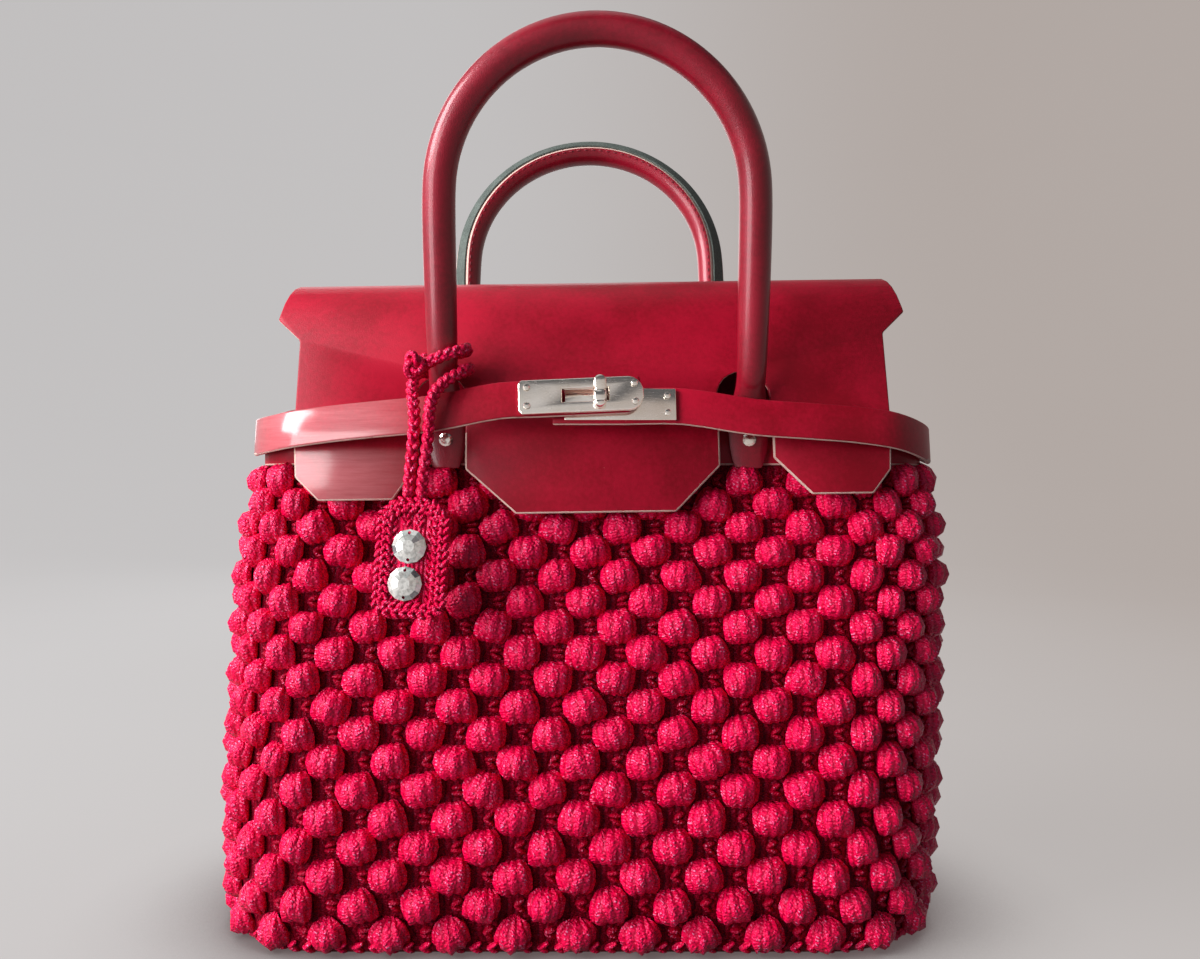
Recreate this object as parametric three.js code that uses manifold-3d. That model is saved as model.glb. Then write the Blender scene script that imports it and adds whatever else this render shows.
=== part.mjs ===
// A crocheted satchel with a folded leather flap, two straps, a turn lock, two rolled handles and a
// small crocheted tag. Millimetres, +X to the bag's left as seen from the front, -Y to the front, +Z up.

import * as THREE from 'three';
import { mergeVertices } from 'three/addons/utils/BufferGeometryUtils.js';
import Module from 'manifold-3d';

const wasm = await Module();
wasm.setup();

// Clearances between touching pieces
const seatGap = 0.3;
const slideGap = 0.4;

// The crocheted body
const bodyWidth = 291;
const bodyDepth = 127;
const bobbledHeight = 178;
const bobblePitch = 23.4;
const bobbleRows = 18;
const bobbleRelief = 8;
const knitWall = 3;
const baseThickness = 5;
const plainEdge = 14;
const bodyLean = 5.5;
const gussetDip = 8;
const cornerShare = 0.75;
const firstRow = 0.72;
const lastRowSpare = 0.25;
const rowTightening = 0.1;
const saddleShare = 0.45;
const evenShare = 0.56;

// Leather sheet and the collar
const leather = 2;
const collarHeight = 14;
const collarLift = 1.5;

// The flap: fold, ears, tabs and slots
const foldTop = 256.5;
const foldRadius = 23;
const flapSlope = THREE.MathUtils.degToRad(24);
const tabSlope = THREE.MathUtils.degToRad(8);
const flapTilt = THREE.MathUtils.degToRad(0.8);
const earHalf = 124.6;
const earTopHalf = 121;
const earDrop = 17.4;
const earNotchDrop = 26.2;
const stripTopHalf = 115;
const stripHalf = 112;
const centreTabBottom = 161.5;
const sideTabBottom = 167.3;
const backPanelBottom = 181;
const slotWidth = 20;
const slotTop = 215;

// The rolled handles
const handleSpan = 116;
const handleRise = 136;
const handleWidth = 12.4;
const handleDepth = 11.6;
const handleLean = THREE.MathUtils.degToRad(10);
const handleShift = 2;
const handleFootLevel = 200;
const handleFootOut = bodyDepth / 2 - 19.3;
const flatShare = 0.66;
const flatSpread = 1.32;
const tabDepthShare = 0.25;
const endTabThickness = tabDepthShare * handleDepth;
const endTabHeight = 14;
const backingWidth = 6.6;
const backingThickness = 0.9;
const handleRivetRadius = 2.6;
const handleRivetHeight = 1.2;
const handleSides = 10;
const archSteps = 16;

// The straps
const strapWidth = 14.6;
const strapThickness = 1.8;
const strapHalfWidth = bodyWidth / 2 - 9.2;
const strapHalfDepth = bodyDepth / 2 - 11.5;
const strapTilt = THREE.MathUtils.degToRad(18);
const strapLevel = 201;

// The clasp and its turn lock
const plateLength = 46;
const plateHeight = 13.4;
const plateThickness = 1.6;
const plateBevel = 0.4;
const plateCentre = -4;
const plateRise = 2.2;
const plateRoll = THREE.MathUtils.degToRad(2.7);
const rearPlateLength = 41;
const rearPlateHeight = 12.4;
const rearPlateThickness = 1.2;
const rearPlateCentre = 10.5;
const postX = 3;
const postRise = plateRise + (postX - plateCentre) * Math.tan(plateRoll);
const postRadius = 2.1;
const pinRadius = 1;
const pinLength = 2.2;
const slotEndRoom = 1;
const slotLength = 17;
const slotHeight = 5.2;
const knobLength = 12.4;
const knobWidth = 4.7;
const knobThickness = 3.6;
const plateRivetRadius = 1.3;
const plateRivetHeight = 0.7;
const plateRivetShare = 0.27;
const plateRivetInset = 3.2;

// The tag, its crystals and its cord
const tagWidth = 25;
const tagHeight = 42.4;
const tagThickness = 5;
const tagBed = 3.4;
const tagBorder = 4;
const tagCorner = 6;
const tagFootCorner = 2;
const tagTopX = -63.9;
const tagTopY = -59.7;
const tagTop = 166.9;
const tagLean = THREE.MathUtils.degToRad(5.5);
const tagSwing = THREE.MathUtils.degToRad(-2.5);
const crystalRadius = 6.2;
const crystalHeight = 3.2;
const crystalTable = 2.2;
const crystalFacets = 12;
const crystalHole = 0.6;
const cordDiameter = 4.2;
const cordSides = 8;
const cordSteps = 22;

// How the crocheted wall swells and narrows: height, half width, half depth and lean to the side,
// as shares of the bobbled height, the width, the depth and the lean
const bodyProfile = [
  { rise: 0.00, width: 0.935, depth: 0.90, lean: 1.00 },
  { rise: 0.045, width: 0.972, depth: 0.975, lean: 1.00 },
  { rise: 0.12, width: 0.980, depth: 1.00, lean: 0.97 },
  { rise: 0.30, width: 0.988, depth: 0.97, lean: 0.80 },
  { rise: 0.50, width: 0.990, depth: 0.90, lean: 0.55 },
  { rise: 0.66, width: 0.993, depth: 0.835, lean: 0.40 },
  { rise: 0.80, width: 1.000, depth: 0.755, lean: 0.18 },
  { rise: 0.92, width: 0.980, depth: 0.69, lean: 0.05 },
  { rise: 1.00, width: 0.965, depth: 0.66, lean: 0.00 },
];

// Handle sections from the end of the tab upwards: distance along, width and depth as shares of the
// rolled section, and how far the section's middle stands out from the collar towards the leaning leg
const legSections = [
  { along: 0.00, width: 0.80, depth: tabDepthShare, out: 0.00 },
  { along: 0.06, width: 1.00, depth: tabDepthShare, out: 0.00 },
  { along: 0.25, width: 1.27, depth: tabDepthShare, out: 0.00 },
  { along: 0.50, width: 1.27, depth: 0.27, out: 0.04 },
  { along: 0.62, width: 1.12, depth: 0.42, out: 0.25 },
  { along: 0.74, width: 0.92, depth: 0.68, out: 0.62 },
  { along: 0.86, width: 0.88, depth: 0.84, out: 0.88 },
  { along: 1.00, width: 0.92, depth: 0.92, out: 1.00 },
];

// The strap's way round the bag from beside the clasp to the back: side and front as shares of the
// strap's half width and half depth, rise in strap widths from the clasp's level, tilt as a share.
// Both straps go the same way across the back.
const strapBackWay = [
  { side: 0.78, front: -0.93, rise: 0.00, tilt: 0.0 },
  { side: 0.60, front: -1.02, rise: -0.08, tilt: 0.0 },
  { side: 0.44, front: -1.035, rise: -0.20, tilt: 0.0 },
  { side: 0.31, front: -0.92, rise: -0.28, tilt: 0.0 },
  { side: 0.19, front: -0.785, rise: -0.31, tilt: 0.0 },
  { side: 0.06, front: -0.765, rise: -0.31, tilt: 0.0 },
];
const rightStrapWay = [
  { side: 0.44, front: 1.010, rise: -0.27, tilt: 1.0 },
  { side: 0.58, front: 0.990, rise: -0.36, tilt: 1.0 },
  { side: 0.71, front: 0.950, rise: -0.44, tilt: 0.9 },
  { side: 0.82, front: 0.900, rise: -0.56, tilt: 0.7 },
  { side: 0.89, front: 0.790, rise: -0.70, tilt: 0.5 },
  { side: 0.95, front: 0.620, rise: -0.86, tilt: 0.3 },
  { side: 0.985, front: 0.400, rise: -0.93, tilt: 0.1 },
  { side: 1.00, front: 0.000, rise: -0.74, tilt: 0.0 },
  { side: 0.985, front: -0.40, rise: -0.36, tilt: 0.0 },
  { side: 0.92, front: -0.72, rise: -0.08, tilt: 0.0 },
  ...strapBackWay,
];
const leftStrapWay = [
  { side: 0.43, front: 1.050, rise: -0.19, tilt: 1.0 },
  { side: 0.57, front: 1.010, rise: -0.31, tilt: 1.0 },
  { side: 0.70, front: 0.960, rise: -0.42, tilt: 0.9 },
  { side: 0.82, front: 0.900, rise: -0.55, tilt: 0.7 },
  { side: 0.89, front: 0.790, rise: -0.64, tilt: 0.5 },
  { side: 0.95, front: 0.620, rise: -0.70, tilt: 0.3 },
  { side: 0.985, front: 0.400, rise: -0.70, tilt: 0.1 },
  { side: 1.00, front: 0.000, rise: -0.56, tilt: 0.0 },
  { side: 0.985, front: -0.40, rise: -0.26, tilt: 0.0 },
  { side: 0.92, front: -0.72, rise: -0.05, tilt: 0.0 },
  ...strapBackWay,
];

// The hand-cut corners of the flap's tabs, from the bag's right to its left as seen from the front
const tabCorners = [
  { tab: 'left', outerRun: 9, outerRise: 9, innerRun: 7, innerRise: 10 },
  { tab: 'centre', outerRun: 19, outerRise: 17, innerRun: 17, innerRise: 17 },
  { tab: 'right', outerRun: 7, outerRise: 9, innerRun: 14, innerRise: 14 },
];

// The cord's two runs, point by point from behind the handle to the tag's top edge
const leftCordRoute = [
  [-64.8, -45.0, 219.3], [-61.2, -39.3, 220.6], [-55.0, -37.6, 221.8], [-48.9, -39.9, 222.8],
  [-46.9, -45.8, 223.0], [-47.7, -51.3, 222.0], [-52.0, -55.3, 220.3], [-57.5, -56.4, 218.0],
  [-62.5, -55.0, 215.2], [-65.0, -56.3, 211.0], [-65.3, -58.8, 206.5], [-64.4, -60.9, 201.5],
  [-63.9, -61.7, 195.0], [-64.4, -61.5, 187.0], [-65.3, -60.9, 179.0], [-66.1, -60.1, 171.5],
  [-66.2, -59.7, 168.0],
];
const rightCordRoute = [
  [-66.2, -46.2, 214.2], [-64.0, -40.0, 214.8], [-58.8, -37.6, 215.4], [-52.5, -37.9, 215.8],
  [-47.4, -41.2, 215.9], [-46.2, -47.0, 215.4], [-47.3, -52.0, 214.0], [-51.3, -55.6, 211.6],
  [-55.4, -57.8, 208.0], [-57.9, -59.9, 203.3], [-58.6, -61.5, 197.5], [-58.9, -61.7, 190.0],
  [-60.0, -61.0, 182.0], [-61.2, -60.3, 174.0], [-61.6, -59.7, 167.3],
];

// Materials
const finish = (color, roughness, metalness = 0) =>
  new THREE.MeshStandardMaterial({ color, roughness, metalness });
const crochet = finish(0xc2114a, 0.6);
const redLeather = finish(0xa01830, 0.4);
const greyBacking = finish(0x5b655f, 0.8);
const nickel = finish(0xd8d2c8, 0.15, 1);
const crystal = finish(0xf4f4f6, 0.05);

// Helpers for closed meshes

function piece(name, geometry, material) {
  const mesh = new THREE.Mesh(geometry, material);
  mesh.name = name;
  return mesh;
}

function meshFrom(points, triangles) {
  const geometry = new THREE.BufferGeometry();
  const flat = points.flatMap((p) => [p.x, p.y, p.z]);
  geometry.setAttribute('position', new THREE.Float32BufferAttribute(flat, 3));
  const volume = triangles.reduce((sum, [a, b, c]) => {
    const cross = new THREE.Vector3().crossVectors(points[b], points[c]);
    return sum + points[a].dot(cross);
  }, 0);
  const facing = volume > 0 ? triangles : triangles.map(([a, b, c]) => [a, c, b]);
  geometry.setIndex(facing.flat());
  return geometry;
}

// Joins rings of points, each with as many points, into a wall. A ring that says half lies half a
// step round from its neighbours. An open run is closed by a fan at each end.
function loft(rings, closedRun = false) {
  const count = rings[0].points.length;
  const points = rings.flatMap((ring) => ring.points);
  const triangles = [];
  const bands = closedRun ? rings.length : rings.length - 1;
  for (let i = 0; i < bands; i += 1) {
    const low = i * count;
    const high = ((i + 1) % rings.length) * count;
    for (let a = 0; a < count; a += 1) {
      const b = (a + 1) % count;
      if (rings[i].half) {
        triangles.push([low + a, low + b, high + b], [low + a, high + b, high + a]);
      } else {
        triangles.push([low + a, low + b, high + a], [low + b, high + b, high + a]);
      }
    }
  }
  if (!closedRun) {
    for (const end of [0, rings.length - 1]) {
      const centre = new THREE.Vector3();
      rings[end].points.forEach((p) => centre.addScaledVector(p, 1 / count));
      points.push(centre);
      for (let a = 0; a < count; a += 1) {
        const edge = [end * count + a, end * count + ((a + 1) % count)];
        triangles.push(end === 0 ? [points.length - 1, edge[1], edge[0]] : [points.length - 1, ...edge]);
      }
    }
  }
  return meshFrom(points, triangles);
}

function solid(geometry) {
  const bare = geometry.clone();
  bare.deleteAttribute('normal');
  bare.deleteAttribute('uv');
  const merged = mergeVertices(bare, 1e-4);
  return new wasm.Manifold(new wasm.Mesh({
    numProp: 3,
    vertProperties: merged.attributes.position.array,
    triVerts: new Uint32Array(merged.index.array),
  }));
}

function geometryOf(body) {
  const mesh = body.getMesh();
  const geometry = new THREE.BufferGeometry();
  geometry.setAttribute('position', new THREE.BufferAttribute(mesh.vertProperties, 3));
  geometry.setIndex(new THREE.BufferAttribute(mesh.triVerts, 1));
  return geometry;
}

// Turns a shape drawn in x and z, extruded from y towards the front, into place
function extrudeForward(shape, fromY, depth, curveSegments = 6) {
  const geometry = new THREE.ExtrudeGeometry(shape, { depth, bevelEnabled: false, curveSegments });
  geometry.rotateX(Math.PI / 2);
  geometry.translate(0, fromY, 0);
  return geometry;
}

function tableAt(table, key, value, names) {
  const last = table.length - 1;
  let i = 0;
  while (i < last - 1 && table[i + 1][key] < value) {
    i += 1;
  }
  const span = table[i + 1][key] - table[i][key];
  const t = THREE.MathUtils.clamp((value - table[i][key]) / span, 0, 1);
  return Object.fromEntries(names.map((n) => [n, THREE.MathUtils.lerp(table[i][n], table[i + 1][n], t)]));
}

// The crocheted body's plan, column by column

const middle = tableAt(bodyProfile, 'rise', 0.5, ['width', 'depth']);

function quarterLength(halfWidth, halfDepth, radius) {
  return halfWidth - radius + halfDepth - radius + radius * Math.PI / 2;
}

const quarterColumns = Math.max(4, Math.round(quarterLength(
  middle.width * bodyWidth / 2,
  middle.depth * bodyDepth / 2,
  middle.depth * bodyDepth / 2 * cornerShare,
) / bobblePitch));
const columns = 4 * quarterColumns;

// A point of the wall at a height, a column counted from the middle of the front, and a depth
// inwards from the bobbles' tips. Columns keep their pitch on the front and crowd at the corners.
function wallPoint(height, column, inset) {
  const rise = Math.min(height / bobbledHeight, 1);
  const at = tableAt(bodyProfile, 'rise', rise, ['width', 'depth', 'lean']);
  const halfWidth = at.width * bodyWidth / 2 - inset;
  const halfDepth = at.depth * bodyDepth / 2 - inset;
  const radius = at.depth * bodyDepth / 2 * cornerShare - inset;
  const round = ((column % columns) + columns) % columns;
  const toSide = round <= columns / 2 ? 1 : -1;
  const fromFront = Math.min(round, columns - round);
  const toFront = fromFront <= quarterColumns ? -1 : 1;
  const fromFace = toFront < 0 ? fromFront : columns / 2 - fromFront;
  const outside = quarterLength(halfWidth + inset, halfDepth + inset, radius + inset);
  const evenColumns = evenShare * quarterColumns;
  const pitch = Math.min(bobblePitch, (halfWidth + inset - radius) / evenColumns);
  const crowded = (outside - evenColumns * pitch) / (quarterColumns - evenColumns);
  const along = fromFace <= evenColumns
    ? fromFace * pitch
    : evenColumns * pitch + (fromFace - evenColumns) * crowded;
  const flat = halfWidth - radius;
  const turn = Math.min(Math.max((along - flat) / (radius + inset), 0), Math.PI / 2);
  const beyond = Math.max(along - flat - (radius + inset) * Math.PI / 2, 0);
  const side = Math.min(along, flat) + radius * Math.sin(turn);
  const front = halfDepth - radius + radius * Math.cos(turn) - beyond;
  const dipShare = Math.max(1 - (front / halfDepth / 0.8) ** 2, 0) ** 2;
  const dip = gussetDip * THREE.MathUtils.smoothstep(rise, 0.45, 1) * dipShare * Math.sin(turn) ** 2;
  return new THREE.Vector3(
    toSide * (side - dip) - bodyLean * at.lean,
    toFront * front,
    height,
  );
}

// Height of a bobble row, or of the line between two rows where the row is a half
function rowHeight(row) {
  const share = THREE.MathUtils.clamp((row + firstRow) / (bobbleRows + lastRowSpare), 0, 1);
  return bobbledHeight * (share + rowTightening * share * (1 - share));
}

function wallRing(height, insetOf, shift = 0) {
  const points = [];
  for (let a = 0; a < 2 * columns; a += 1) {
    points.push(wallPoint(height, (a + shift) / 2, insetOf(a)));
  }
  return { points, half: shift > 0 };
}

// The bobbled wall is a run of rings: a line through each row's tips and hollows, and a line of
// saddles half a step round between two rows
function crochetBody() {
  const saddle = saddleShare * bobbleRelief;
  const rings = [wallRing(0, () => saddle, 0.5)];
  for (let row = 0; row < bobbleRows; row += 1) {
    rings.push(wallRing(rowHeight(row), (a) => ((a + row) % 2 === 0 ? 0 : bobbleRelief)));
    if (row < bobbleRows - 1) {
      rings.push(wallRing(rowHeight(row + 0.5), () => saddle, 0.5));
    }
  }
  rings.push(wallRing(bobbledHeight, () => bobbleRelief, 0.5));
  rings.push(wallRing(bobbledHeight + collarLift / 2, () => bobbleRelief));
  rings.push(wallRing(bobbledHeight + plainEdge, () => bobbleRelief));
  const inner = bobbleRelief + knitWall;
  rings.push(wallRing(bobbledHeight + plainEdge, () => inner));
  for (const share of [1, 0.75, 0.5, 0.25, 0.08]) {
    rings.push(wallRing(share * bobbledHeight, () => inner));
  }
  rings.push(wallRing(baseThickness, () => inner));
  return piece('crochet_body', loft(rings), crochet);
}

const collarInset = bobbleRelief - seatGap;
const collarFace = bodyProfile.at(-1).depth * bodyDepth / 2 - collarInset + leather;

function leatherCollar() {
  const low = bobbledHeight + collarLift;
  const rings = [];
  for (let a = 0; a < 2 * columns; a += 1) {
    const inside = wallPoint(bobbledHeight, a / 2, collarInset);
    const outside = wallPoint(bobbledHeight, a / 2, collarInset - leather);
    const corners = [[inside, low], [outside, low], [outside, low + collarHeight], [inside, low + collarHeight]];
    rings.push({ points: corners.map(([p, z]) => new THREE.Vector3(p.x, p.y, z)) });
  }
  return piece('leather_collar', loft(rings, true), redLeather);
}

// The flap

// The sheet's middle line from the back panel's foot over the fold to the front tabs
function flapLine() {
  const radius = foldRadius + leather / 2;
  const centre = foldTop - leather / 2 - radius;
  const line = [];
  const backOut = collarFace + seatGap + leather / 2;
  const tangentY = radius * Math.cos(flapSlope);
  const tangentZ = centre + radius * Math.sin(flapSlope);
  line.push([backOut, backPanelBottom - leather]);
  line.push([backOut, tangentZ - (backOut - tangentY) / Math.tan(flapSlope)]);
  const steps = 10;
  for (let i = 0; i <= steps; i += 1) {
    const angle = THREE.MathUtils.lerp(flapSlope, Math.PI - flapSlope, i / steps);
    line.push([radius * Math.cos(angle), centre + radius * Math.sin(angle)]);
  }
  const bendZ = bobbledHeight + collarHeight;
  const bendY = tangentY + (tangentZ - bendZ) * Math.tan(flapSlope);
  const endZ = centreTabBottom - 4 * leather;
  line.push([-bendY, bendZ]);
  line.push([-bendY - (bendZ - endZ) * Math.tan(tabSlope), endZ]);
  return line.map(([y, z]) => new THREE.Vector2(y, z));
}

// The outline of one side of the folded sheet, seen from the front
function flapOutline(bottoms, corners) {
  const shape = new THREE.Shape();
  const slotRadius = slotWidth / 2;
  const arch = slotTop - slotRadius;
  const above = foldTop + leather;
  const [left, centre, right] = corners;
  const slot = handleSpan / 2;
  shape.moveTo(-earTopHalf, above);
  shape.lineTo(-earHalf, foldTop - earDrop);
  shape.lineTo(-stripTopHalf, foldTop - earNotchDrop);
  shape.lineTo(-stripHalf, bottoms.side + left.outerRise);
  shape.lineTo(-stripHalf + left.outerRun, bottoms.side);
  shape.lineTo(-slot - slotRadius - left.innerRun, bottoms.side);
  shape.lineTo(-slot - slotRadius, bottoms.side + left.innerRise);
  shape.lineTo(-slot - slotRadius, arch);
  shape.absarc(-slot, arch, slotRadius, Math.PI, 0, true);
  shape.lineTo(-slot + slotRadius, bottoms.centre + centre.outerRise);
  shape.lineTo(-slot + slotRadius + centre.outerRun, bottoms.centre);
  shape.lineTo(slot - slotRadius - centre.innerRun, bottoms.centre);
  shape.lineTo(slot - slotRadius, bottoms.centre + centre.innerRise);
  shape.lineTo(slot - slotRadius, arch);
  shape.absarc(slot, arch, slotRadius, Math.PI, 0, true);
  shape.lineTo(slot + slotRadius, bottoms.side + right.innerRise);
  shape.lineTo(slot + slotRadius + right.innerRun, bottoms.side);
  shape.lineTo(stripHalf - right.outerRun, bottoms.side);
  shape.lineTo(stripHalf, bottoms.side + right.outerRise);
  shape.lineTo(stripTopHalf, foldTop - earNotchDrop);
  shape.lineTo(earHalf, foldTop - earDrop);
  shape.lineTo(earTopHalf, above);
  shape.closePath();
  return shape;
}

function flap() {
  const line = flapLine();
  const offset = line.map((p, i) => {
    const along = line[Math.min(i + 1, line.length - 1)].clone().sub(line[Math.max(i - 1, 0)]).normalize();
    return new THREE.Vector2(along.y, -along.x).multiplyScalar(leather / 2);
  });
  const outside = line.map((p, i) => p.clone().add(offset[i]));
  const inside = line.map((p, i) => p.clone().sub(offset[i]));
  const section = new THREE.Shape([...outside, ...inside.reverse()]);
  const width = 2 * earHalf + 4 * leather;
  const sheet = new THREE.ExtrudeGeometry(section, { depth: width, bevelEnabled: false });
  sheet.applyMatrix4(new THREE.Matrix4().makeBasis(
    new THREE.Vector3(0, 1, 0),
    new THREE.Vector3(0, 0, 1),
    new THREE.Vector3(1, 0, 0),
  ));
  sheet.translate(-width / 2, 0, 0);
  const reach = bodyDepth;
  const frontBottoms = { side: sideTabBottom, centre: centreTabBottom };
  const backBottoms = { side: backPanelBottom, centre: backPanelBottom };
  const backCorners = tabCorners.map(() => (
    { outerRun: leather, outerRise: leather, innerRun: leather, innerRise: leather }));
  const front = extrudeForward(flapOutline(frontBottoms, tabCorners), leather, reach);
  const back = extrudeForward(flapOutline(backBottoms, backCorners), reach, reach);
  const cut = solid(sheet).intersect(solid(front).add(solid(back)));
  const geometry = geometryOf(cut);
  geometry.translate(0, 0, -strapLevel);
  geometry.rotateY(-flapTilt);
  geometry.translate(0, 0, strapLevel);
  return piece('flap', geometry, redLeather);
}

// The handles

const lean = new THREE.Vector3(0, -Math.sin(handleLean), Math.cos(handleLean));
const outward = new THREE.Vector3(0, -Math.cos(handleLean), -Math.sin(handleLean));
const archRadius = handleSpan / 2;
const legTop = handleRise - archRadius;
const legStart = 40;

// A point in the handle's leaning plane, across and up from the middle of its feet
function planePoint(across, up) {
  return new THREE.Vector3(across, -handleFootOut, handleFootLevel).addScaledVector(lean, up);
}

// The stations of a whole handle, from one end tab over the arch to the other
function handleStations() {
  const legs = [];
  const tabLow = bobbledHeight + collarLift - leather / 2;
  const tabOut = collarFace + seatGap + endTabThickness / 2;
  const joinUp = legStart - (handleFootLevel - tabLow);
  const join = planePoint(0, joinUp);
  for (const row of legSections) {
    const z = THREE.MathUtils.lerp(tabLow, join.z, row.along);
    const leaning = join.y + (join.z - z) * Math.tan(handleLean);
    legs.push({
      y: THREE.MathUtils.lerp(-tabOut, leaning, row.out),
      z,
      width: row.width * handleWidth,
      depth: row.depth * handleDepth,
    });
  }
  const up = legs.map((leg) => ({ ...leg, at: new THREE.Vector3(-archRadius, leg.y, leg.z) }));
  const full = { width: handleWidth, depth: handleDepth };
  up.push({ ...full, at: planePoint(-archRadius, (joinUp + legTop) / 2) });
  const arch = [];
  for (let i = 0; i <= archSteps; i += 1) {
    const angle = Math.PI * (1 - i / archSteps);
    const at = planePoint(archRadius * Math.cos(angle), legTop + archRadius * Math.sin(angle));
    arch.push({ ...full, at });
  }
  const down = up.map((s) => ({ ...s, at: s.at.clone().setX(-s.at.x) })).reverse();
  return [...up, ...arch, ...down];
}

// The directions across and out of the handle at each station
function withFrames(stations) {
  return stations.map((s, i) => {
    const before = stations[Math.max(i - 1, 0)].at;
    const after = stations[Math.min(i + 1, stations.length - 1)].at;
    const along = after.clone().sub(before).normalize();
    const across = new THREE.Vector3().crossVectors(along, outward).normalize();
    const out = new THREE.Vector3().crossVectors(across, along).normalize();
    return { ...s, across, out };
  });
}

function handleLeather() {
  const rings = withFrames(handleStations()).map((s) => {
    const points = [];
    for (let i = 0; i < handleSides; i += 1) {
      const angle = (i + 0.5) * 2 * Math.PI / handleSides;
      const flat = Math.sin(angle) < -flatShare;
      const u = (flat ? flatSpread : 1) * Math.cos(angle) * s.width / 2;
      const v = (flat ? -flatShare : Math.sin(angle)) * s.depth / 2;
      points.push(s.at.clone().addScaledVector(s.across, u).addScaledVector(s.out, v));
    }
    return { points };
  });
  return loft(rings);
}

function handleBacking() {
  const rolled = withFrames(handleStations()).filter((s) => s.depth > 0.83 * handleDepth);
  const rings = rolled.map((s) => {
    const near = flatShare * s.depth / 2 + seatGap;
    const far = near + backingThickness;
    const half = backingWidth / 2;
    const points = [[-half, -near], [half, -near], [half, -far], [-half, -far]].map(([u, v]) =>
      s.at.clone().addScaledVector(s.across, u).addScaledVector(s.out, v));
    return { points };
  });
  return loft(rings);
}

// One handle is made for the front and turned half round for the back
function handle(name, turned) {
  const group = new THREE.Group();
  group.add(piece(`${name}_handle`, handleLeather(), redLeather));
  group.add(piece(`${name}_handle_backing`, handleBacking(), greyBacking));
  const rivetLevel = bobbledHeight + collarLift + 0.7 * endTabHeight;
  const rivetOut = collarFace + endTabThickness + 2 * seatGap;
  [-1, 1].forEach((side, i) => {
    const head = rivetHead(handleRivetRadius, handleRivetHeight, 12);
    const rivet = piece(`handle_rivet_${turned ? i + 3 : i + 1}`, head, nickel);
    rivet.rotation.x = Math.PI / 2;
    rivet.position.set(side * archRadius, -rivetOut, rivetLevel);
    group.add(rivet);
  });
  group.position.x = turned ? -handleShift : handleShift;
  group.rotation.z = turned ? Math.PI : 0;
  return group;
}

// A low domed head, standing on its flat face along +Z
function rivetHead(radius, height, sides) {
  const profile = [
    new THREE.Vector2(0, 0),
    new THREE.Vector2(radius, 0),
    new THREE.Vector2(radius, 0.35 * height),
    new THREE.Vector2(0.7 * radius, 0.85 * height),
    new THREE.Vector2(0, height),
  ];
  const geometry = new THREE.LatheGeometry(profile, sides);
  geometry.rotateX(Math.PI / 2);
  return mergeVertices(bareOf(geometry), 1e-4);
}

function bareOf(geometry) {
  const bare = geometry.clone();
  bare.deleteAttribute('normal');
  bare.deleteAttribute('uv');
  return bare;
}

// The clasp's own frame: X along the strap, Y up the tilted strap, Z out of it

const claspFrame = new THREE.Matrix4().makeBasis(
  new THREE.Vector3(1, 0, 0),
  new THREE.Vector3(0, Math.sin(strapTilt), Math.cos(strapTilt)),
  new THREE.Vector3(0, -Math.cos(strapTilt), Math.sin(strapTilt)),
).setPosition(0, -strapHalfDepth, strapLevel);

const rearPlateOut = strapThickness / 2 + seatGap;
const leftStrapOut = rearPlateOut + rearPlateThickness + seatGap + strapThickness / 2;
const frontPlateOut = leftStrapOut + strapThickness / 2 + seatGap;
const knobOut = frontPlateOut + plateThickness + slideGap;

function claspPoint(x, up, out) {
  return new THREE.Vector3(x, up, out).applyMatrix4(claspFrame);
}

// The straps

// A strap is a flat band lofted through stations, each with its own tilt
function strapBand(start, way, side) {
  const turn = start.map((at) => ({ at, tilt: 1 }));
  for (const row of way) {
    turn.push({
      at: new THREE.Vector3(
        side * row.side * strapHalfWidth,
        -row.front * strapHalfDepth,
        strapLevel + row.rise * strapWidth,
      ),
      tilt: row.tilt,
    });
  }
  const curve = new THREE.CatmullRomCurve3(turn.map((s) => s.at), false, 'centripetal');
  const steps = 3 * (turn.length - 1);
  const rings = [];
  for (let i = 0; i <= steps; i += 1) {
    const t = i / steps;
    const spot = t * (turn.length - 1);
    const near = Math.min(Math.floor(spot), turn.length - 2);
    const tilt = strapTilt * THREE.MathUtils.lerp(turn[near].tilt, turn[near + 1].tilt, spot - near);
    const at = curve.getPoint(t);
    const along = curve.getTangent(t).multiplyScalar(side);
    const level = new THREE.Vector3(along.y, -along.x, 0).normalize();
    const up = new THREE.Vector3(0, 0, Math.cos(tilt)).addScaledVector(level, -Math.sin(tilt));
    const out = new THREE.Vector3().crossVectors(along, up).normalize();
    up.crossVectors(out, along).normalize();
    const corners = [[-1, -1], [1, -1], [1, 1], [-1, 1]];
    const points = corners.map(([o, u]) => at.clone()
      .addScaledVector(out, o * strapThickness / 2)
      .addScaledVector(up, u * strapWidth / 2));
    rings.push({ points });
  }
  return loft(rings);
}

function rightStrap() {
  const start = [-14.5, -2, 12, 34].map((x) => claspPoint(x, 0, 0));
  return piece('right_strap', strapBand(start, rightStrapWay, 1), redLeather);
}

function leftStrap() {
  const slopeUp = Math.tan(plateRoll);
  const xs = [plateCentre + plateLength / 2 - 1, 8, -6, -20, -34];
  const start = xs.map((x) => claspPoint(x, plateRise + (x - plateCentre) * slopeUp, leftStrapOut));
  const band = solid(strapBand(start, leftStrapWay, -1));
  const cutter = new THREE.BoxGeometry(slotLength, slotHeight, 4 * strapThickness);
  cutter.translate(postX - slotLength / 2 + postRadius + slotEndRoom, postRise, leftStrapOut);
  cutter.applyMatrix4(claspFrame);
  return piece('left_strap', geometryOf(band.subtract(solid(cutter))), redLeather);
}

// The clasp

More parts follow.
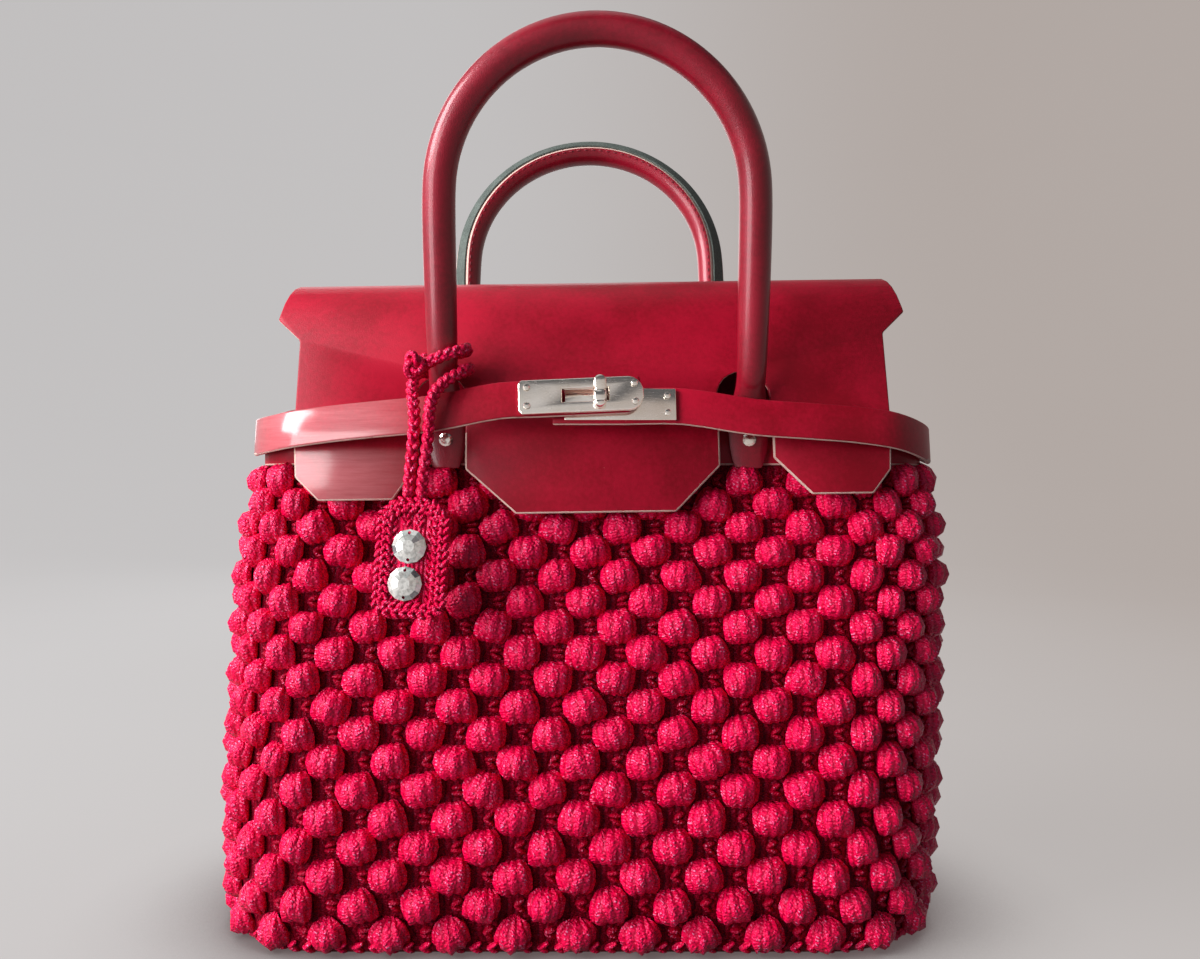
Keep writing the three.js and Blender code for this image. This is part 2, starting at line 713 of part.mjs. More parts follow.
function plateOutline() {
  const shape = new THREE.Shape();
  const x = plateLength / 2 - plateBevel;
  const y = plateHeight / 2 - plateBevel;
  const small = 1;
  const large = 0.36 * plateHeight;
  shape.moveTo(-x + small, -y);
  shape.lineTo(x - large, -y);
  shape.quadraticCurveTo(x - 0.25 * large, -y + 0.1 * large, x, -y + large);
  shape.lineTo(x, y - large);
  shape.quadraticCurveTo(x - 0.25 * large, y - 0.1 * large, x - large, y);
  shape.lineTo(-x + small, y);
  shape.lineTo(-x, y - small);
  shape.lineTo(-x, -y + small);
  shape.closePath();
  return shape;
}

function slotHole() {
  const hole = new THREE.Path();
  const right = postX - plateCentre + postRadius + slotEndRoom + plateBevel;
  const left = right - slotLength - 2 * plateBevel;
  const half = slotHeight / 2 + plateBevel;
  hole.moveTo(left, -half);
  hole.lineTo(left, half);
  hole.lineTo(right, half);
  hole.lineTo(right, -half);
  hole.closePath();
  return hole;
}

function frontPlate() {
  const outline = plateOutline();
  outline.holes.push(slotHole());
  const geometry = new THREE.ExtrudeGeometry(outline, {
    depth: plateThickness - plateBevel,
    bevelEnabled: true,
    bevelThickness: plateBevel,
    bevelSize: plateBevel,
    bevelSegments: 1,
    curveSegments: 4,
  });
  const mesh = piece('clasp_front_plate', trimmedBelow(geometry), nickel);
  mesh.rotation.z = plateRoll;
  mesh.position.set(plateCentre, plateRise, frontPlateOut);
  return mesh;
}

// Keeps only what lies above the plane z = 0, so that a bevelled plate has a flat back
function trimmedBelow(geometry) {
  const reach = 4 * plateLength;
  const keep = new THREE.BoxGeometry(reach, reach, reach);
  keep.translate(0, 0, reach / 2);
  return geometryOf(solid(geometry).intersect(solid(keep)));
}

// The rear plate and the post of the lock are soldered into one solid
function rearPlate() {
  const plate = new THREE.BoxGeometry(rearPlateLength, rearPlateHeight, rearPlateThickness);
  plate.translate(rearPlateCentre, 0, rearPlateThickness / 2);
  const tall = knobOut - seatGap - rearPlateOut;
  const profile = [
    new THREE.Vector2(0, rearPlateThickness / 2),
    new THREE.Vector2(postRadius, rearPlateThickness / 2),
    new THREE.Vector2(postRadius, tall),
    new THREE.Vector2(pinRadius, tall),
    new THREE.Vector2(pinRadius, tall + pinLength),
    new THREE.Vector2(0, tall + pinLength),
  ];
  const post = new THREE.LatheGeometry(profile, 12);
  post.rotateX(Math.PI / 2);
  post.scale(1, -1, 1);
  const turned = meshRight(post);
  turned.translate(postX, postRise, 0);
  const mesh = piece('clasp_rear_plate', geometryOf(solid(plate).add(solid(turned))), nickel);
  mesh.position.z = rearPlateOut;
  return mesh;
}

// A turned profile whose faces may point inwards is rebuilt facing out
function meshRight(geometry) {
  const merged = mergeVertices(bareOf(geometry), 1e-4);
  const flat = merged.attributes.position;
  const points = [];
  for (let i = 0; i < flat.count; i += 1) {
    points.push(new THREE.Vector3().fromBufferAttribute(flat, i));
  }
  const triangles = [];
  for (let i = 0; i < merged.index.count; i += 3) {
    const corner = [merged.index.getX(i), merged.index.getX(i + 1), merged.index.getX(i + 2)];
    if (new Set(corner).size === 3) {
      triangles.push(corner);
    }
  }
  return meshFrom(points, triangles);
}

function knob() {
  const half = knobWidth / 2;
  const end = knobLength / 2 - half;
  const shape = new THREE.Shape();
  shape.moveTo(-half, -end);
  shape.absarc(0, -end, half, Math.PI, 2 * Math.PI, false);
  shape.lineTo(half, end);
  shape.absarc(0, end, half, 0, Math.PI, false);
  shape.closePath();
  const bar = new THREE.ExtrudeGeometry(shape, { depth: knobThickness, bevelEnabled: false, curveSegments: 5 });
  const bore = new THREE.CylinderGeometry(pinRadius + seatGap, pinRadius + seatGap, 2 * (pinLength + seatGap), 12);
  bore.rotateX(Math.PI / 2);
  const mesh = piece('turn_lock_knob', geometryOf(solid(bar).subtract(solid(bore))), nickel);
  mesh.position.set(postX, postRise, knobOut);
  return mesh;
}

function clasp() {
  const group = new THREE.Group();
  group.add(rearPlate(), frontPlate(), knob());
  const rivetX = plateLength / 2 - plateRivetInset;
  const rivetY = plateRivetShare * plateHeight;
  const front = new THREE.Group();
  [[-1, 1], [-1, -1], [1, 1], [1, -1]].forEach(([side, up], i) => {
    const head = rivetHead(plateRivetRadius, plateRivetHeight, 10);
    const rivet = piece(`front_plate_rivet_${i + 1}`, head, nickel);
    rivet.position.set(side * rivetX, up * rivetY, plateThickness + seatGap);
    front.add(rivet);
  });
  front.rotation.z = plateRoll;
  front.position.set(plateCentre, plateRise, frontPlateOut);
  group.add(front);
  [1, -1].forEach((up, i) => {
    const head = rivetHead(plateRivetRadius, plateRivetHeight, 10);
    const rivet = piece(`rear_plate_rivet_${i + 1}`, head, nickel);
    const x = rearPlateCentre + rearPlateLength / 2 - plateRivetInset;
    const y = up * plateRivetShare * rearPlateHeight;
    rivet.position.set(x, y, rearPlateOut + rearPlateThickness + seatGap);
    group.add(rivet);
  });
  group.applyMatrix4(claspFrame);
  return group;
}

// The tag on its cord

function tagShape(inset) {
  const x = tagWidth / 2 - inset;
  const low = -tagHeight + inset;
  const high = -inset;
  const cut = tagCorner;
  const foot = tagFootCorner;
  const shape = new THREE.Shape();
  shape.moveTo(-x + foot, low);
  shape.lineTo(x - foot, low);
  shape.lineTo(x, low + foot);
  shape.lineTo(x, high - cut);
  shape.lineTo(x - cut, high);
  shape.lineTo(-x + cut, high);
  shape.lineTo(-x, high - cut);
  shape.lineTo(-x, low + foot);
  shape.closePath();
  return shape;
}

function tagBody() {
  const plate = new THREE.ExtrudeGeometry(tagShape(0), { depth: tagThickness, bevelEnabled: false });
  const bed = new THREE.ExtrudeGeometry(tagShape(tagBorder), { depth: tagThickness, bevelEnabled: false });
  bed.translate(0, 0, tagBed);
  return piece('tag', geometryOf(solid(plate).subtract(solid(bed))), crochet);
}

// A round sew-on stone with a small table, sloping facets and two holes for the thread
function stone(name) {
  const profile = [
    new THREE.Vector2(0, 0),
    new THREE.Vector2(0.9 * crystalRadius, 0),
    new THREE.Vector2(crystalRadius, 0.3 * crystalHeight),
    new THREE.Vector2(0.72 * crystalRadius, 0.72 * crystalHeight),
    new THREE.Vector2(crystalTable, crystalHeight),
    new THREE.Vector2(0, crystalHeight),
  ];
  const turned = new THREE.LatheGeometry(profile, crystalFacets);
  turned.rotateX(Math.PI / 2);
  turned.scale(1, -1, 1);
  let body = solid(meshRight(turned));
  for (const side of [-1, 1]) {
    const drill = new THREE.CylinderGeometry(crystalHole, crystalHole, 4 * crystalHeight, 8);
    drill.rotateX(Math.PI / 2);
    drill.translate(0, side * 0.78 * crystalRadius, 0);
    body = body.subtract(solid(drill));
  }
  return piece(name, geometryOf(body), crystal);
}

function cordRun(name, route) {
  const path = new THREE.CatmullRomCurve3(route.map((p) => new THREE.Vector3(...p)), false, 'centripetal');
  const ring = new THREE.Shape();
  for (let i = 0; i < cordSides; i += 1) {
    const angle = i * 2 * Math.PI / cordSides;
    const x = Math.cos(angle) * cordDiameter / 2;
    const y = Math.sin(angle) * cordDiameter / 2;
    if (i === 0) {
      ring.moveTo(x, y);
    } else {
      ring.lineTo(x, y);
    }
  }
  ring.closePath();
  const geometry = new THREE.ExtrudeGeometry(ring, {
    steps: cordSteps,
    bevelEnabled: false,
    extrudePath: path,
  });
  return piece(name, geometry, crochet);
}

function tagOnCord() {
  const group = new THREE.Group();
  const tag = new THREE.Group();
  tag.add(tagBody());
  const stones = [['crystal_upper', -0.8, -17.2], ['crystal_lower', -1.6, -30.6]];
  for (const [name, x, y] of stones) {
    const mesh = stone(name);
    mesh.position.set(x, y, tagBed + seatGap);
    tag.add(mesh);
  }
  tag.position.set(0, 0, -tagThickness / 2);
  const leaning = new THREE.Group();
  leaning.add(tag);
  leaning.rotation.set(Math.PI / 2 - tagLean, 0, tagSwing, 'XZY');
  leaning.position.set(tagTopX, tagTopY, tagTop);
  group.add(leaning);
  group.add(cordRun('tag_cord_left', leftCordRoute));
  group.add(cordRun('tag_cord_right', rightCordRoute));
  return group;
}

// The bag stands on z = 0 with its footprint centred, the tag not counted
const bag = new THREE.Group();
bag.add(crochetBody(), leatherCollar(), flap());
bag.add(handle('front', false), handle('back', true));
bag.add(rightStrap(), leftStrap(), clasp());
const span = new THREE.Box3().setFromObject(bag);
const middlePoint = span.getCenter(new THREE.Vector3());

const handbag = new THREE.Group();
handbag.add(bag, tagOnCord());
handbag.position.set(-middlePoint.x, -middlePoint.y, -span.min.z);

export default handbag;
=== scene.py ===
"""Dresses a small satchel in bobble crochet: cord, leather, nickel and crystal round its solids.

Lengths are the maker's millimetres, worked into metres where a mesh is placed.
"""
import logging
import math
import random
from collections.abc import Callable, Sequence
from dataclasses import dataclass
from enum import Enum

import bmesh
import bpy
import numpy as np
from mathutils import Matrix, Vector


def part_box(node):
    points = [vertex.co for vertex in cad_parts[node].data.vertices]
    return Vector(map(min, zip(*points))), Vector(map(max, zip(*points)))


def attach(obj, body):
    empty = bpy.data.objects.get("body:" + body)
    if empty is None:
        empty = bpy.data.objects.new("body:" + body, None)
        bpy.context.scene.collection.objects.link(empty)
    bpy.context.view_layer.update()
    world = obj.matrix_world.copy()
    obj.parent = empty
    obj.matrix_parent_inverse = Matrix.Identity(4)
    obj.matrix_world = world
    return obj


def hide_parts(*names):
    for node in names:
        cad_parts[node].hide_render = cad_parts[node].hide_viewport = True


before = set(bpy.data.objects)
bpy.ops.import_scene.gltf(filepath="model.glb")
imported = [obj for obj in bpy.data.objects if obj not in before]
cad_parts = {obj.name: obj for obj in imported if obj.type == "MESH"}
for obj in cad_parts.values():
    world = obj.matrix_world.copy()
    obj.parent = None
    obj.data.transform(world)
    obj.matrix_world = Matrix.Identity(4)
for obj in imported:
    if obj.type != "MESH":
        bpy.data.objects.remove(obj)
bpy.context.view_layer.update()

log = logging.getLogger("satchel")

MM = 0.001
BAG = "bag"
KNOB = "turn_knob"
UV_NAME = "strand"
PLY_PITCH = 0.95 * MM
SAME_PLACE = 0.002 * MM
FLAT_TURN = 0.6
PAIR_TURN = 30.0
PAIR_SHAPE = 60.0
NEVER_SHARP = 170.0
TUBE_SIDES = 6
TUBE_PLIES = 2
GRAIN_WIDTH = 0.42
RESTING_LEVEL = 0.1 * MM
Colour = tuple[float, float, float]
Way = list[Vector]
Placed = tuple[int, Matrix]


def middle_shift() -> float:
    """How far the maker's middle plane lies from the frame's, in metres. The collar straddles it."""
    low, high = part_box("leather_collar")
    return (low.x + high.x) / 2


SHIFT = middle_shift()


def at(x: float, y: float, z: float) -> Vector:
    """A place in the frame, in metres, from the maker's millimetres."""
    return Vector((x * MM + SHIFT, y * MM, z * MM))


def steps(first: float, last: float, count: int) -> list[float]:
    """Evenly spaced values from first to last, count of them."""
    return [first + (last - first) * i / (count - 1) for i in range(count)]


def clamped(value: float, high: float = 1.0) -> float:
    """The value kept between 0 and high."""
    return min(max(value, 0.0), high)


def eased(value: float) -> float:
    """Rises smoothly from 0 at 0 to 1 at 1."""
    share = clamped(value)
    return share * share * (3 - 2 * share)


def darkened(colour: Colour, share: float) -> Colour:
    """The colour with that share of its light."""
    return tuple(share * part for part in colour)


# Shader work


class Wire:
    """A socket in a material's nodes. Sums on it add Math nodes."""

    def __init__(self, paint: "Paint", socket: bpy.types.NodeSocket) -> None:
        """Keeps the paint that the socket belongs to."""
        self.paint = paint
        self.socket = socket

    def _math(self, operation: str, *values: "Wire | float") -> "Wire":
        """Adds one Math node that works on the values in their order."""
        return self.paint.node("ShaderNodeMath", {"operation": operation}, dict(enumerate(values)))

    def __add__(self, other: "Wire | float") -> "Wire":
        """Sum."""
        return self._math("ADD", self, other)

    def __radd__(self, other: float) -> "Wire":
        """Sum, the number first."""
        return self._math("ADD", other, self)

    def __sub__(self, other: "Wire | float") -> "Wire":
        """Difference."""
        return self._math("SUBTRACT", self, other)

    def __rsub__(self, other: float) -> "Wire":
        """Difference, the number first."""
        return self._math("SUBTRACT", other, self)

    def __mul__(self, other: "Wire | float") -> "Wire":
        """Product."""
        return self._math("MULTIPLY", self, other)

    def __rmul__(self, other: float) -> "Wire":
        """Product, the number first."""
        return self._math("MULTIPLY", other, self)

    def fraction(self) -> "Wire":
        """What is left after the whole number."""
        return self._math("FRACT", self)

    def sine(self) -> "Wire":
        """Sine of the value in radians."""
        return self._math("SINE", self)

    def between(self, low: float, high: float) -> "Wire":
        """Rises smoothly from 0 at low to 1 at high."""
        inputs = {"Value": self, "From Min": low, "From Max": high}
        return self.paint.node("ShaderNodeMapRange", {"interpolation_type": "SMOOTHSTEP"}, inputs)


class Paint:
    """Builds one material."""

    def __init__(self, name: str) -> None:
        """Starts an empty material.

        Args:
            name: The material's name.
        """
        self.material = bpy.data.materials.new(name)
        self.material.use_nodes = True
        self.tree = self.material.node_tree
        self.tree.nodes.clear()

    def node(self, kind: str, settings: dict | None = None, inputs: dict | None = None,
             output: int | str = 0) -> Wire:
        """Adds a node of any kind.

        Args:
            kind: Blender's name for the node.
            settings: Its properties.
            inputs: A value or a wire for each socket.
            output: The socket that is handed back.

        Returns:
            The chosen output.
        """
        made = self.tree.nodes.new(kind)
        for name, value in (settings or {}).items():
            setattr(made, name, value)
        for name, value in (inputs or {}).items():
            if isinstance(value, Wire):
                self.tree.links.new(value.socket, made.inputs[name])
            else:
                made.inputs[name].default_value = value
        return Wire(self, made.outputs[output])

    def place(self) -> Wire:
        """Object coordinates."""
        return self.node("ShaderNodeTexCoord", output="Object")

    def part(self, vector: Wire, axis: str) -> Wire:
        """One coordinate of a vector, by its letter."""
        return self.node("ShaderNodeSeparateXYZ", {}, {0: vector}, axis)

    def strand(self) -> tuple[Wire, Wire]:
        """Across the strand, with the strand's number before the point, and along it in plies."""
        uv = self.node("ShaderNodeUVMap", {"uv_map": UV_NAME})
        return self.part(uv, "X"), self.part(uv, "Y")

    def noise(self, vector: Wire, scale: float, detail: float = 3.0, rough: float = 0.5) -> Wire:
        """Cloudy noise from 0 to 1."""
        inputs = {"Vector": vector, "Scale": scale, "Detail": detail, "Roughness": rough}
        return self.node("ShaderNodeTexNoise", {}, inputs, "Fac")

    def cells(self, vector: Wire, scale: float) -> Wire:
        """The distance from the middle of the nearest of many small cells."""
        return self.node("ShaderNodeTexVoronoi", {}, {"Vector": vector, "Scale": scale}, "Distance")

    def scratches(self, vector: Wire, scale: tuple[float, float, float], detail: float) -> Wire:
        """Noise drawn out along the directions of small scale."""
        stretched = self.node("ShaderNodeMapping", {}, {"Vector": vector, "Scale": scale})
        return self.noise(stretched, 1.0, detail, 0.7)

    def blend(self, share: Wire | float, first: Wire | Colour, second: Wire | Colour) -> Wire:
        """A colour between two.

        Args:
            share: How much of the second shows.
            first: The colour at a share of 0.
            second: The colour at a share of 1.

        Returns:
            The mixed colour.
        """
        ends = [colour if isinstance(colour, Wire) else (*colour, 1.0) for colour in (first, second)]
        return self.node("ShaderNodeMix", {"data_type": "RGBA"}, {0: share, 6: ends[0], 7: ends[1]}, 2)

    def bump(self, height: Wire, depth: float) -> Wire:
        """The normal bent by a height from 0 to 1, where 1 stands for the depth in metres."""
        return self.node("ShaderNodeBump", {}, {"Height": height, "Distance": depth})

    def surface(self, sockets: dict) -> bpy.types.Material:
        """Ends the material in one shader with these values or wires.

        Args:
            sockets: A value or wire for each socket by its name.

        Returns:
            The finished material.
        """
        shader = self.node("ShaderNodeBsdfPrincipled", {}, sockets)
        end = self.tree.nodes.new("ShaderNodeOutputMaterial")
        self.tree.links.new(shader.socket, end.inputs["Surface"])
        return self.material


class Slot(Enum):
    """The record's material slots."""

    CROCHET = "crochet"
    LEATHER = "red_leather"
    BACKING = "grey_backing"
    NICKEL = "nickel"
    CRYSTAL = "crystal"


@dataclass(frozen=True)
class CordFinish:
    """Shiny twisted cord, with painted shade where the strands tuck in, and painted pink glints and sparkles
    where a ply would catch the light.
    """

    crevice_shade: Colour = (0.3, 0.0, 0.013)
    body: Colour = (0.84, 0.0, 0.062)
    painted_glint: Colour = (1.0, 0.05, 0.29)
    painted_sparkle: Colour = (1.0, 0.42, 0.70)
    sparkle_share: float = 0.5
    ply_slant: float = 1.3
    relief: float = 0.7 * MM
    gloss: float = 0.22
    shine: float = 0.6
    sheen_tint: Colour = (1.0, 0.3, 0.62)
    wander_scale: float = 260.0
    fibre_scale: float = 1500.0
    bead_scale: float = 760.0
    cloud_scale: float = 42.0
    patch_scale: float = 150.0

    def material(self, name: str) -> bpy.types.Material:
        """Builds the cord's material.

        Args:
            name: The material's name.

        Returns:
            The material.
        """
        paint = Paint(name)
        across, along = paint.strand()
        place = paint.place()
        wander = paint.noise(place, self.wander_scale, 2.0) - 0.5
        in_strand = (across + 0.5 * wander).fraction()
        arch = (in_strand * math.pi).sine()
        crown = arch * arch
        fibre = paint.noise(place, self.fibre_scale, 2.0, 0.7)
        turn = (along + self.ply_slant * in_strand + 1.6 * wander) * math.tau
        ply = (turn.sine() * 0.5 + 0.5).between(0.1, 0.95)
        cells = paint.cells(place, self.bead_scale)
        bead = (1 - cells).between(0.3, 0.85)
        high = crown.between(-0.4, 0.6) * (0.4 + 0.2 * ply + 0.4 * bead)
        cloudy = paint.noise(place, self.cloud_scale, 2.0)
        # Painted shade: darker towards the valleys between strands and between plies.
        under = paint.blend(high.between(0.0, 0.55), self.crevice_shade, self.body)
        # Painted glints: pink where the crowns stand high and the fibre noise allows.
        glint = high.between(0.6, 0.98) * fibre.between(0.42, 0.66)
        colour = paint.blend(glint * (0.3 + 0.6 * cloudy), under, self.painted_glint)
        # Painted sparkles: pale pink spots on the beads, in patches.
        sparkle_mask = bead.between(0.5, 0.85) * ply.between(0.3, 0.8) * high.between(0.35, 0.8)
        patches = paint.noise(place, self.patch_scale, 1.0).between(0.42, 0.56)
        colour = paint.blend(sparkle_mask * patches * self.sparkle_share, colour, self.painted_sparkle)
        height = crown * 0.45 + ply * 0.25 * arch + bead * 0.45 + fibre * 0.14
        return paint.surface({
            "Base Color": colour,
            "Roughness": self.gloss + 0.3 * (1 - fibre.between(0.3, 0.7)),
            "Normal": paint.bump(height, self.relief),
            "Specular IOR Level": self.shine,
            "Specular Tint": (*self.sheen_tint, 1.0),
        })


@dataclass(frozen=True)
class LeatherFinish:
    """Smooth coated red leather with a fine grain, soft blotches and a few pale specks; where asked, a
    painted pale sheen with a stronger coat low on the front's left.
    """

    deep: Colour = (0.25, 0.001, 0.010)
    body: Colour = (0.43, 0.002, 0.023)
    speck_and_sheen: Colour = (0.72, 0.26, 0.28)
    grain: float = 2600.0
    gloss: float = 0.34
    coat: float = 0.03
    shine: float = 0.3
    relief: float = 0.05 * MM
    sheen_tint: Colour = (1.0, 0.5, 0.6)
    coat_gloss: float = 0.16
    mottle_scale: float = 620.0
    blotch_scale: float = 26.0
    speck_scale: float = 330.0
    # These fields place the painted sheen: a paler streaked colour and a stronger coat that stand in for a
    # reflection.
    painted_sheen: bool = False
    sheen_below: float = 1.0
    sheen_from: float = 0.045
    sheen_fully: float = 0.085
    sheen_fade: float = 0.004
    side_end: float = 0.150
    side_fade: float = 0.028
    sheen_streak_scale: tuple[float, float, float] = (60.0, 60.0, 900.0)

    def material(self, name: str) -> bpy.types.Material:
        """Builds the leather's material.

        Args:
            name: The material's name.

        Returns:
            The material.
        """
        paint = Paint(name)
        place = paint.place()
        cells = paint.cells(place, self.grain)
        mottle = paint.noise(place, self.mottle_scale, 3.0, 0.6)
        blotch = paint.noise(place, self.blotch_scale, 3.0, 0.55)
        specks = paint.noise(place, self.speck_scale, 4.0, 0.75)
        tone = blotch * 0.7 + mottle * 0.3
        colour = paint.blend(tone.between(0.36, 0.66), self.deep, self.body)
        colour = paint.blend(specks.between(0.72, 0.8) * 0.5, colour, self.speck_and_sheen)
        coat: Wire | float = self.coat
        # Painted sheen: paler streaked colour and more coat inside the mask.
        if self.painted_sheen:
            lighter_share = self._painted_sheen_mask(paint, place)
            scratches = paint.scratches(place, self.sheen_streak_scale, 4.0)
            colour = paint.blend(lighter_share * (0.1 + 0.45 * scratches), colour, self.speck_and_sheen)
            coat = self.coat + 0.9 * lighter_share
        height = cells * 0.7 + mottle * 0.6
        return paint.surface({
            "Base Color": colour,
            "Roughness": self.gloss + 0.16 * blotch + 0.08 * mottle,
            "Normal": paint.bump(height, self.relief),
            "Specular IOR Level": self.shine,
            "Specular Tint": (*self.sheen_tint, 1.0),
            "Coat Weight": coat,
            "Coat Roughness": self.coat_gloss,
        })

    def _painted_sheen_mask(self, paint: Paint, place: Wire) -> Wire:
        """Where the sheen is painted: low on the front's left, up to the turn of the side.

        Args:
            paint: The material in work.
            place: Object coordinates.

        Returns:
            1 where the sheen is painted, 0 elsewhere.
        """
        across = paint.part(place, "X")
        low = (self.sheen_below - paint.part(place, "Z")).between(0.0, self.sheen_fade)
        left = (-1 * across).between(self.sheen_from, self.sheen_fully)
        return left * (across + self.side_end).between(0.0, self.side_fade) * low


@dataclass(frozen=True)
class RawEdgeFinish:
    """The leather's cut edge: pale fibres with a stain of the red dye along them."""

    pale: Colour = (0.72, 0.50, 0.44)
    stained: Colour = (0.40, 0.10, 0.11)
    fibre_scale: float = 1900.0
    stain_scale: float = 210.0

    def material(self, name: str) -> bpy.types.Material:
        """Builds the cut edge's material.

        Args:
            name: The material's name.

        Returns:
            The material.
        """
        paint = Paint(name)
        place = paint.place()
        fibre = paint.noise(place, self.fibre_scale, 3.0, 0.7)
        stain = paint.noise(place, self.stain_scale, 4.0, 0.7)
        colour = paint.blend(stain.between(0.52, 0.78) * 0.8, self.pale, self.stained)
        colour = paint.blend(fibre.between(0.55, 0.8) * 0.35, colour, self.stained)
        return paint.surface({
            "Base Color": colour,
            "Roughness": 0.88,
            "Normal": paint.bump(fibre, 0.2 * MM),
        })


@dataclass(frozen=True)
class BackingFinish:
    """The grey backing strip, closely pored."""

    dark: Colour = (0.035, 0.047, 0.042)
    grey: Colour = (0.13, 0.16, 0.145)
    pore_scale: float = 2100.0
    wear_scale: float = 120.0

    def material(self, name: str) -> bpy.types.Material:
        """Builds the backing's material.

        Args:
            name: The material's name.

        Returns:
            The material.
        """
        paint = Paint(name)
        place = paint.place()
        pores = paint.noise(place, self.pore_scale, 3.0, 0.65)
        lighter_share = paint.noise(place, self.wear_scale, 3.0)
        colour = paint.blend((pores * 0.75 + lighter_share * 0.25).between(0.36, 0.66), self.dark, self.grey)
        return paint.surface({
            "Base Color": colour,
            "Roughness": 0.82,
            "Normal": paint.bump(pores, 0.12 * MM),
        })


@dataclass(frozen=True)
class NickelFinish:
    """Polished nickel with hair-fine scratches and a faint bloom."""

    metal: Colour = (1.0, 0.945, 0.88)
    bloom: Colour = (0.84, 0.76, 0.66)
    hair_scale: tuple[float, float, float] = (300.0, 2600.0, 2600.0)
    haze_scale: float = 90.0

    def material(self, name: str) -> bpy.types.Material:
        """Builds the metal's material.

        Args:
            name: The material's name.

        Returns:
            The material.
        """
        paint = Paint(name)
        place = paint.place()
        hair = paint.scratches(place, self.hair_scale, 3.0)
        haze = paint.noise(place, self.haze_scale, 3.0)
        return paint.surface({
            "Base Color": paint.blend(haze.between(0.35, 0.75) * 0.6, self.metal, self.bloom),
            "Metallic": 1.0,
            "Roughness": 0.13 + 0.16 * hair.between(0.45, 0.8) + 0.08 * haze,
            "Normal": paint.bump(hair, 0.004 * MM),
        })


@dataclass(frozen=True)
class CrystalFinish:
    """One facet of foiled crystal, whose tint is a painted reflection of what that facet would mirror."""

    tint: Colour
    depth_scale: float = 700.0

    def material(self, name: str) -> bpy.types.Material:
        """Builds the facet's material.

        Args:
            name: The material's name.

        Returns:
            The material.
        """
        paint = Paint(name)
        deep = paint.noise(paint.place(), self.depth_scale, 3.0, 0.7)
        return paint.surface({
            "Base Color": paint.blend(deep.between(0.4, 0.66), self.tint, darkened(self.tint, 0.62)),
            "Metallic": 0.6,
            "Roughness": 0.08,
            "Coat Weight": 1.0,
            "Coat Roughness": 0.02,
        })


@dataclass(frozen=True)
class ThreadFinish:
    """Plain sewing thread."""

    tint: Colour = (0.30, 0.01, 0.03)
    twist_scale: float = 2400.0

    def material(self, name: str) -> bpy.types.Material:
        """Builds the thread's material.

        Args:
            name: The material's name.

        Returns:
            The material.
        """
        paint = Paint(name)
        twist = paint.noise(paint.place(), self.twist_scale, 2.0)
        return paint.surface({
            "Base Color": paint.blend(twist.between(0.35, 0.65), darkened(self.tint, 0.4), self.tint),
            "Roughness": 0.6,
            "Normal": paint.bump(twist, 0.08 * MM),
        })


@dataclass(frozen=True)
class FloorFinish:
    """A plain pale table and backdrop that glow, with a painted contact shadow where the bag stands close to
    it and painted shade towards the right.
    """

    tone: Colour = (0.07, 0.069, 0.069)
    glow: Colour = (0.52, 0.505, 0.505)
    shaded_glow: Colour = (0.415, 0.365, 0.34)
    painted_contact_shadow: Colour = (0.11, 0.085, 0.085)
    shadow_reach: float = 0.07
    cloud_scale: float = 3.0
    shade_from: float = -0.6
    shade_to: float = 1.1

    def material(self, name: str) -> bpy.types.Material:
        """Builds the floor's material.

        Args:
            name: The material's name.

        Returns:
            The material.
        """
        paint = Paint(name)
        place = paint.place()
        cloud = paint.noise(place, self.cloud_scale, 2.0)
        colour = paint.blend(cloud.between(0.3, 0.7), darkened(self.tone, 0.93), self.tone)
        # Painted shade: the glow grows darker and warmer towards the right.
        to_right = paint.part(place, "X").between(self.shade_from, self.shade_to)
        glow = paint.blend(to_right, self.glow, self.shaded_glow)
        # Painted contact shadow: the glow darkens where the bag is close.
        reach = {"Distance": self.shadow_reach}
        openness = paint.node("ShaderNodeAmbientOcclusion", {"samples": 8}, reach, "AO")
        return paint.surface({
            "Base Color": colour,
            "Roughness": 0.9,
            "Specular IOR Level": 0.1,
            "Emission Color": paint.blend(openness.between(0.3, 1.0), self.painted_contact_shadow, glow),
            "Emission Strength": 1.0,
        })


